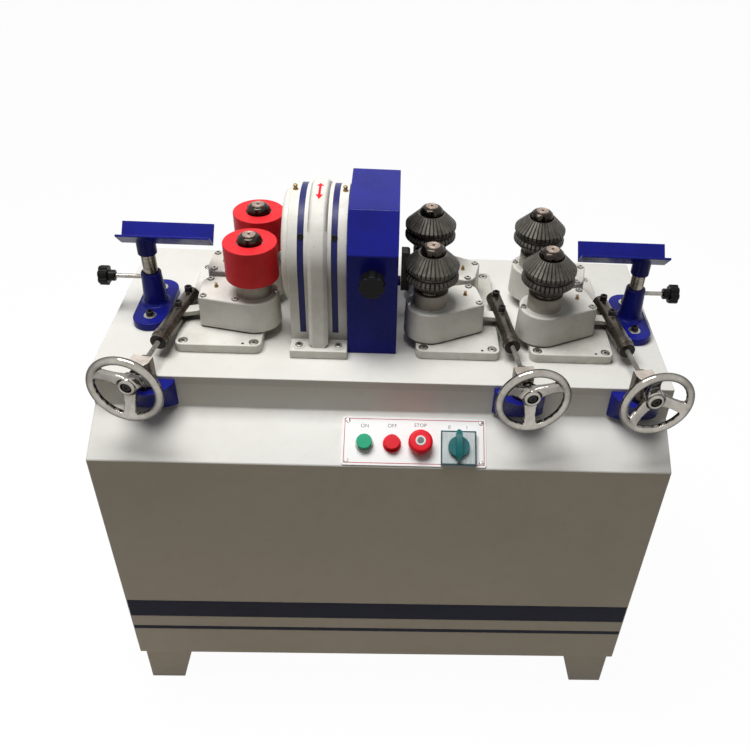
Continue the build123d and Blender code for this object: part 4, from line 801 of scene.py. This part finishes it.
def finish_shaft(unit, row):
    """Flinger, slotted nut with a rounded shoulder, and the shaft's end with a ring and its drilled centre."""
    node = f"{unit}_{row}_shaft"
    nut_top = ROLLER_TOP[unit] + NUT_RISE
    nut_low = nut_top - NUT_DEPTH
    axis = Vector((ROLLER_X[unit], ROLLER_Y[unit][row]))

    def off_axis(spot):
        return (spot.xy - axis).length

    piece = take_shape(node)
    drill = turn("drill", [(0, -4.0), (1.2, -4.0), (1.2, -1.8), (3.4, 1.0), (0, 1.0)], 24)
    groove = turn("groove", [(7.6, -0.7), (8.6, -0.7), (8.6, 1.0), (7.6, 1.0), (7.6, -0.7)], 40)
    for tool in (drill, groove):
        carve(piece, set_at(tool, at(axis.x, axis.y, nut_top + SHAFT_END)))
    with editing(piece, "EDGE"):
        for radius, z in ((NUT_R, nut_top - NUT_EDGE), (NUT_R - NUT_EDGE, nut_top)):
            pick(piece, "edges", lambda edge: both_ends(
                edge, lambda end: abs(end.z - z) < 0.1 and abs(off_axis(end) - radius) < 0.3))
        bevel(2.2, 4)
    round_edges(piece, 0.5, 2, 38.0, keep_sharp=lambda edge: both_ends(
        edge, lambda end: end.z > nut_low and off_axis(end) > NUT_BORE_R))
    wear(piece, BODY_OF[node], DARK_STEEL, SLOT_OF[node], node)
    paint_faces(piece, NUT_STEEL, lambda centre, normal: centre.z > nut_low)
    paint_faces(piece, COPPERY_STEEL, lambda centre, normal: centre.z > nut_top + 0.2)
    # The drilled centre painted black: painted shade in the hole.
    paint_faces(piece, BLACK_OXIDE, lambda centre, normal: abs(centre.z - nut_top) < 1.8 and off_axis(centre) < 3.2)


def finish_tyre(row):
    """A red tyre with soft rims and the bright hub that shows round the nut."""
    piece = soften(f"outfeed_{row}_roller", 0.4, RED_TYRE, 2, 40.0)
    axis = Vector((ROLLER_X["outfeed"], ROLLER_Y["outfeed"][row]))
    paint_faces(piece, TURNED_STEEL, lambda centre, normal: (
        centre.z < ROLLER_TOP["outfeed"] - 0.6 and (centre.xy - axis).length < TYRE_HUB_R))


for unit in UNITS:
    for row in ROWS:
        finish_shaft(unit, row)
        if unit == "outfeed":
            finish_tyre(row)
        else:
            dress(f"{unit}_{row}_roller", TOOTHED_STEEL)


def wheel_rim():
    """A round rim, waved inside for the fingers."""
    waves = 24
    rim = primitive("torus", "rim", major_radius=55.5 * MM, minor_radius=7 * MM, major_segments=72, minor_segments=18)
    grip = primitive("uv_sphere", "grip", segments=24, ring_count=12, radius=5 * MM)
    places = [Matrix.Rotation(2 * pi * step / waves, 4, "Z") @ at(45.2, 0, 1.5) for step in range(waves)]
    carve(rim, copies(grip, "grips", places, last=True))
    return set_at(rim, at(0, 0, -60))


def wheel_spokes(start):
    """Three dished spokes that run into rim and hub, the first one at the start angle."""
    spoke = set_at(block("spoke", 4, 25, 12), at(8, 0, -46))
    with editing(spoke):
        pick(spoke, "faces", lambda face: face.normal.x > 0.9)
        for run, rise, widen, thicken in (
            (12, -2.5, 0.8, 0.8), (12, -4.5, 0.88, 0.9), (11, -4.5, 1.12, 1.0), (10, -2.5, 1.4, 1.2),
        ):
            draw_out(run, 0, rise)
            bpy.ops.transform.resize(value=(1, widen, thicken))
    places = [Matrix.Rotation(radians(start + third), 4, "Z") for third in (0, 120, 240)]
    return copies(spoke, "spokes", places, last=True)


def make_handwheel(unit):
    """A chromed cast wheel with a sunk centre nut."""
    place, body = screw_place(unit), BODY_OF[f"{unit}_handwheel"]
    rim = wheel_rim()
    hub = turn("hub", [
        (0, -35), (15.2, -35), (16, -36), (16, -51), (15, -56), (12.5, -58.8), (9.5, -59), (8.6, -58), (8.6, -53.5),
        (0, -53.5),
    ])
    wheel = join(f"{unit}_wheel", [rim, hub, wheel_spokes(SPOKE[unit])])
    use_modifier(wheel, "REMESH", mode="VOXEL", voxel_size=1.15 * MM, use_smooth_shade=True)
    use_modifier(wheel, "SMOOTH", factor=0.5, iterations=10)
    wear(set_at(wheel, place), body, CHROME, "chrome", f"{unit}_handwheel")
    nut = socket_screw(f"{unit}_wheel_nut", radius=7.2, height=3.0, hexagon=3.6)
    nut_place = place @ at(0, 0, -53.6) @ Matrix.Rotation(pi, 4, "X")
    wear(set_at(nut, nut_place), body, BLACK_OXIDE, "black_steel")


def make_screw(unit):
    """The handwheel's threaded screw, with its stem and a collar on either side of the swivel block."""
    place, body = screw_place(unit), BODY_OF[f"{unit}_handwheel"]
    with drawing(f"{unit}_screw", 3.4, 0, -40) as thread:
        for step in ((0.6, 0, 0.6), (0, 0, 0.3), (-0.6, 0, 0.6)):
            bpy.ops.mesh.extrude_region_move(TRANSFORM_OT_translate={"value": Vector(step) * MM})
    use_modifier(thread, "SCREW", screw_offset=1.5 * MM, angle=2 * pi, steps=20, render_steps=20, iterations=111,
                 use_merge_vertices=True, merge_threshold=1e-6, use_normal_calculate=True)
    with editing(thread, "EDGE"):
        bpy.ops.mesh.select_all(action="SELECT")
        bpy.ops.mesh.fill_holes(sides=0)
        face_outwards()
    collars = [turn("collar", [
        (0, low), (9.2, low), (10, low + 0.8), (10, low + 5.2), (9.2, low + 6), (0, low + 6),
    ]) for low in (-23.4, 12.4)]
    stem = join(f"{unit}_stem", collars + [turn("stem", [(0, -36), (6.5, -36), (6.5, -23), (0, -23)], 28)])
    wear(set_at(smooth(thread, 30), place), body, THREAD_STEEL, "steel")
    wear(set_at(smooth(stem), place), body, DARK_STEEL, "black_steel")


def finish_barrel(unit):
    """Tension barrel: ground tube with a ring at the wheel's end and two socket bolts on top."""
    place, run = screw_place(unit), LUG[unit] - SWIVEL[unit]
    reach, way = run.length, run.normalized()
    key = primitive("cylinder", "key", vertices=6, radius=3.4 * MM, depth=9 * MM)
    bolts = [place @ at(23, 0, along) @ Matrix.Rotation(pi / 2, 4, "Y") for along in (reach, reach + 48)]
    keys = copies(key, "keys", bolts, last=True)
    piece = soften(f"{unit}_barrel", 0.4, BARREL_STEEL, 2, 40.0, cutter=keys)
    collar_top = SWIVEL[unit].z + 15.8
    paint_faces(piece, BLACK_OXIDE, lambda centre, normal: centre.z > collar_top)
    paint_faces(piece, BLACK_OXIDE, lambda centre, normal: (
        normal.dot(way) < -0.9 and (centre - SWIVEL[unit]).dot(way) < reach - 91))


for unit in UNITS:
    make_handwheel(unit)
    make_screw(unit)
    finish_barrel(unit)
    swivel = soften(f"{unit}_swivel_block", 1.2, DARK_STEEL, 3, 40.0)
    paint_faces(swivel, MACHINED_TOP, lambda centre, normal: normal.z > 0.9 and centre.z > SWIVEL_TOP)
soften("screw_brackets", 1.0, BLUE_PAINT, 3, 40.0, lambda edge: both_ends(edge, lambda end: end.z < BRACKET_LOW))

# Rod supports

for end in ENDS:
    support = soften(f"{end}_support", 0.8, BLUE_PAINT, angle=40.0)
    paint_faces(support, POST_STEEL, lambda centre, normal: centre.z < SUPPORT_HUB[end] - 0.5)
    knob = soften(f"{end}_clamp_knob", 1.6, BLACK_PLASTIC, 3, 40.0)
    side = -1 if end == "outfeed" else 1
    paint_faces(knob, TURNED_STEEL, lambda centre, normal: side * (centre.x - POST_X[end]) < KNOB_REACH[end])
soften("support_sockets", 1.4, BLUE_PAINT, 3, 40.0)
foot_spots = [(POST_X[end], FEED_Y + row) for end in ENDS for row in (-46, 46)]
foot_washer = washer("foot_washer", inner=4.5, outer=11.0, height=1.6)
washer_places = [at(x, y, TABLE_TOP + 14) for x, y in foot_spots]
wear(copies(foot_washer, "socket_washers", washer_places, last=True), "frame", ZINC, "steel")
screw_places = [at(x, y, TABLE_TOP + 15.5) for x, y in foot_spots]
wear(copies(PLATE_SCREW, "socket_screws", screw_places), "frame", BLACK_OXIDE, "black_steel")


# Cutter housing, cover and drive

def on_rib_foot(edge):
    """The lines where the housing's rib runs into the dome."""
    return both_ends(edge, lambda end: abs(abs(end.x - HOUSING_X) - RIB_HALF) < 0.3)


soften("cutter_housing", 1.5, WHITE_CASTING, 3, 30.0, on_rib_foot)
soften("housing_end_cover", 0.6, WHITE_CASTING)


def dome_stripe(name, left, right):
    """A painted stripe over the housing's dome, from near the flange in front to the same height behind."""
    low = 795.0
    with drawing(name, left, FEED_Y - DOME_R - 0.05, low) as stripe:
        draw_out(right - left, 0, 0)
        bpy.ops.mesh.select_mode(type="EDGE")
        bpy.ops.mesh.select_all(action="SELECT")
        draw_out(0, 0, FEED_Z - low)
        bpy.ops.mesh.spin(steps=64, angle=pi, center=(0, FEED_Y * MM, FEED_Z * MM), axis=(1, 0, 0))
        draw_out(0, 0, low - FEED_Z)
    use_modifier(stripe, "SOLIDIFY", thickness=0.35 * MM, offset=1.0)
    with editing(stripe):
        face_outwards()
    wear(smooth(stripe), "frame", NAVY_STRIPE, "blue_paint")


dome_stripe("dome_stripe_left", -150.0, -139.5)
dome_stripe("dome_stripe_right", -95.0, -84.5)


def on_dome(x, degrees, lift=0.0):
    """A place on the dome, its Z straight out, degrees up from the front."""
    out = Vector((0, -cos(radians(degrees)), sin(radians(degrees))))
    return aimed(Vector((x, FEED_Y, FEED_Z)) + out * (DOME_R + lift), out, (1, 0, 0))


plug = smooth(turn("plug", [(0, -1.0), (5.2, -1.0), (5.2, 0.9), (4.4, 1.3), (3.9, 1.2), (3.4, 0.5), (0, 0.5)], 32))
plug_places = [on_dome(x, 36) for x in (-144.5, -89.5)]
wear(copies(plug, "dome_plugs", plug_places, last=True), "frame", BLACK_PLASTIC, "black_plastic")
nipple_places = [on_dome(x, 88, -2.5) @ Matrix.Scale(1.4, 4) for x in (-158.5, -76)]
wear(copies(NIPPLE, "dome_nipples", nipple_places), "frame", BRASS, "brown_steel")

flange_spots = [(HOUSING_X + side, FEED_Y + row) for side in (-33.5, 33.5) for row in (-125, 125)]
pad = washer("pad", inner=4.5, outer=9.5, height=1.2)
pad_places = [at(x, y, TABLE_TOP + 16) for x, y in flange_spots]
wear(copies(pad, "flange_washers", pad_places, last=True), "frame", WHITE_CASTING, "white_casting")
screw_places = [at(x, y, TABLE_TOP + 12.5) for x, y in flange_spots]
wear(copies(PLATE_SCREW, "flange_screws", screw_places), "frame", ZINC, "steel")


def turning_arrow():
    """A plain red double arrow over the top of the rib: the two ways of turning."""
    bar = primitive("plane", "turning_arrow", size=MM)
    with editing(bar):
        bpy.ops.mesh.select_all(action="SELECT")
        bpy.ops.transform.resize(value=(4, 30, 1))
    head = primitive("circle", "arrow_head", vertices=3, radius=7.0 * MM, fill_type="NGON")
    places = [at(0, 16, 0), at(0, -16, 0) @ Matrix.Rotation(pi, 4, "Z")]
    arrow = join("turning_arrow", [bar, copies(head, "arrow_heads", places, last=True)])
    with editing(arrow):
        bpy.ops.mesh.select_all(action="SELECT")
        bpy.ops.mesh.quads_convert_to_tris()
        bpy.ops.mesh.subdivide(number_cuts=7)
    set_at(arrow, at(HOUSING_X, FEED_Y - 14, 1030))
    use_modifier(arrow, "SHRINKWRAP", target=bpy.data.objects["cutter_housing_finished"], wrap_method="PROJECT",
                 use_project_z=True, use_negative_direction=True, use_positive_direction=False, offset=0.15 * MM)
    use_modifier(arrow, "SOLIDIFY", thickness=0.25 * MM, offset=1.0)
    with editing(arrow):
        face_outwards()
    wear(smooth(arrow, 60), "frame", RED, "red")


turning_arrow()
soften("cutter_cover", 1.2, BLUE_PAINT, 3)
soften("cover_knob", 1.3, BLACK_PLASTIC, 3, 40.0)
soften("infeed_guide", 1.0, BLACK_STEEL, 3, 40.0)
guide_screw = copies(PLATE_SCREW, "guide_screw", [aimed((35.9, FEED_Y, 838), (1, 0, 0), UP)])
wear(guide_screw, "frame", BLACK_OXIDE, "black_steel")
for material, nodes in (
    (TURNED_STEEL, ("pivot_sleeves", "spindle", "spindle_bearings", "spindle_pulley", "cutterhead", "cutter_knives",
                    "motor_pulley")),
    (BELT_RUBBER, ("drive_belts",)),
    (MOTOR_PAINT, ("main_motor", "feed_gearmotor")),
):
    for node in nodes:
        dress(node, material)

# Controls on the sloping ledge

soften("control_plate", 0.3, PANEL_WHITE)


def panel_frame():
    """The thin printed line round the control plate."""
    line = primitive("plane", "panel_line", size=MM)
    with editing(line):
        bpy.ops.mesh.select_all(action="SELECT")
        bpy.ops.transform.resize(value=(238, 79, 1))
        bpy.ops.mesh.inset(thickness=1.3 * MM)
        bpy.ops.mesh.delete(type="FACE")
        bpy.ops.mesh.select_all(action="SELECT")
        draw_out(0, 0, 0.12)
        face_outwards()
    wear(set_at(line, LEDGE @ at(*PANEL_MIDDLE, 1.98)), "frame", PRINT_RED, "red")


def panel_word(word, x, up):
    """A plain printed word or figure on the control plate."""
    bpy.ops.object.select_all(action="DESELECT")
    bpy.ops.object.text_add()
    text = bpy.context.object
    text.data.body = word
    text.data.size = 9 * MM
    text.data.align_x = "CENTER"
    text.data.align_y = "CENTER"
    text.data.extrude = 0.08 * MM
    bpy.ops.object.convert(target="MESH")
    text.name = "word_" + word.lower()
    wear(set_at(text, LEDGE @ at(x, up, 2.0)), "frame", PRINT_DARK, "black_plastic")


panel_frame()
for word, x, up in (("ON", -34, 71), ("OFF", 12.5, 72), ("STOP", 60.5, 74), ("0", 110, 72), ("1", 140, 72)):
    panel_word(word, x, up)
corners = [(x, up) for x in (-63, 164) for up in (9.5, 80.5)]
corner_places = [LEDGE @ at(x, up, 1.95) @ Matrix.Rotation(x + up, 4, "Z") for x, up in corners]
wear(copies(PANEL_SCREW, "panel_screws", corner_places), "frame", ZINC, "steel")

bodies = soften("control_bodies", 0.8, BUTTON_WHITE, 3, 40.0)
stop_left, selector_left = -10, 88
paint_faces(bodies, RED, lambda centre, normal: stop_left < centre.x < selector_left)
paint_faces(bodies, SELECTOR_PLATE, lambda centre, normal: centre.x > selector_left)


def selector_frame():
    """The dark rim of the selector's square base."""
    rim = block("selector_rim", 60.2, 60.2, 3)
    with editing(rim):
        pick(rim, "faces", lambda face: abs(face.normal.z) > 0.9)
        bpy.ops.mesh.inset(thickness=2.6 * MM, use_individual=True)
        bpy.ops.mesh.bridge_edge_loops()
    round_edges(rim, 0.5, 2, 40.0)
    wear(set_at(rim, LEDGE @ at(*SELECTOR_MIDDLE, 10.8)), "frame", TEAL_DARK, "teal")


selector_frame()
soften("start_button", 0.9, GREEN, 3, 40.0)
soften("stop_button", 0.9, RED, 3, 40.0)
soften("emergency_stop", 1.0, RED, 3, 40.0)
stop_top = LEDGE @ at(*STOP_MIDDLE, 25.4)
stop_ring = smooth(turn("stop_ring", [
    (5.6, -0.2), (8.6, -0.2), (8.6, 0.5), (8.1, 0.8), (6.1, 0.8), (5.6, 0.5), (5.6, -0.2),
], 40))
wear(set_at(stop_ring, stop_top), "emergency_stop", BUTTON_WHITE, "control_grey")
stop_centre = smooth(turn("stop_centre", [(0, -0.2), (5.5, -0.2), (5.5, 0.3), (3.4, 0.3), (3.0, 0.7), (0, 0.7)], 32))
wear(set_at(stop_centre, stop_top), "emergency_stop", STOP_GREY, "control_grey")


def finish_selector():
    """The selector's handle: its grip slopes down and narrows towards both ends, most at the pointer."""
    grip_top, grip_foot, neck, tip = 32, 30, 19.5, 23
    place = LEDGE @ at(*SELECTOR_MIDDLE, 0)
    piece = take_shape("selector_knob")
    set_at(piece, place.inverted())
    with editing(piece, "VERT"):
        for end, narrow, crest, slope in ((1, 0.8, 14, 20), (-1, 0.45, 8, 22)):
            bpy.ops.mesh.select_all(action="SELECT")
            bpy.ops.mesh.bisect(plane_co=(0, end * neck * MM, 0), plane_no=(0, 1, 0))
            bpy.ops.mesh.select_all(action="DESELECT")
            pick(piece, "verts", lambda vert: vert.co.z > grip_foot * MM)
            bpy.ops.mesh.bisect(plane_co=(0, end * crest * MM, 0), plane_no=(0, 1, 0))
            bpy.ops.mesh.select_all(action="DESELECT")
            pick(piece, "verts", lambda vert: end * vert.co.y > tip * MM)
            bpy.ops.transform.resize(value=(narrow, 1, 1), center_override=(0, 0, 0))
            pick(piece, "verts", lambda vert: end * vert.co.y > (crest - 0.1) * MM)
            pick(piece, "verts", lambda vert: vert.co.z < grip_foot * MM, chosen=False)
            bpy.ops.transform.rotate(value=end * radians(slope), orient_axis="X",
                                     center_override=(0, end * crest * MM, grip_top * MM))
    set_at(piece, place)
    round_edges(piece, 0.6, 3, 40.0)
    wear(piece, BODY_OF["selector_knob"], TEAL, SLOT_OF["selector_knob"], "selector_knob")


finish_selector()

for pattern in (PLATE_SCREW, ARM_SCREW, PANEL_SCREW, NIPPLE):
    bpy.data.objects.remove(pattern)
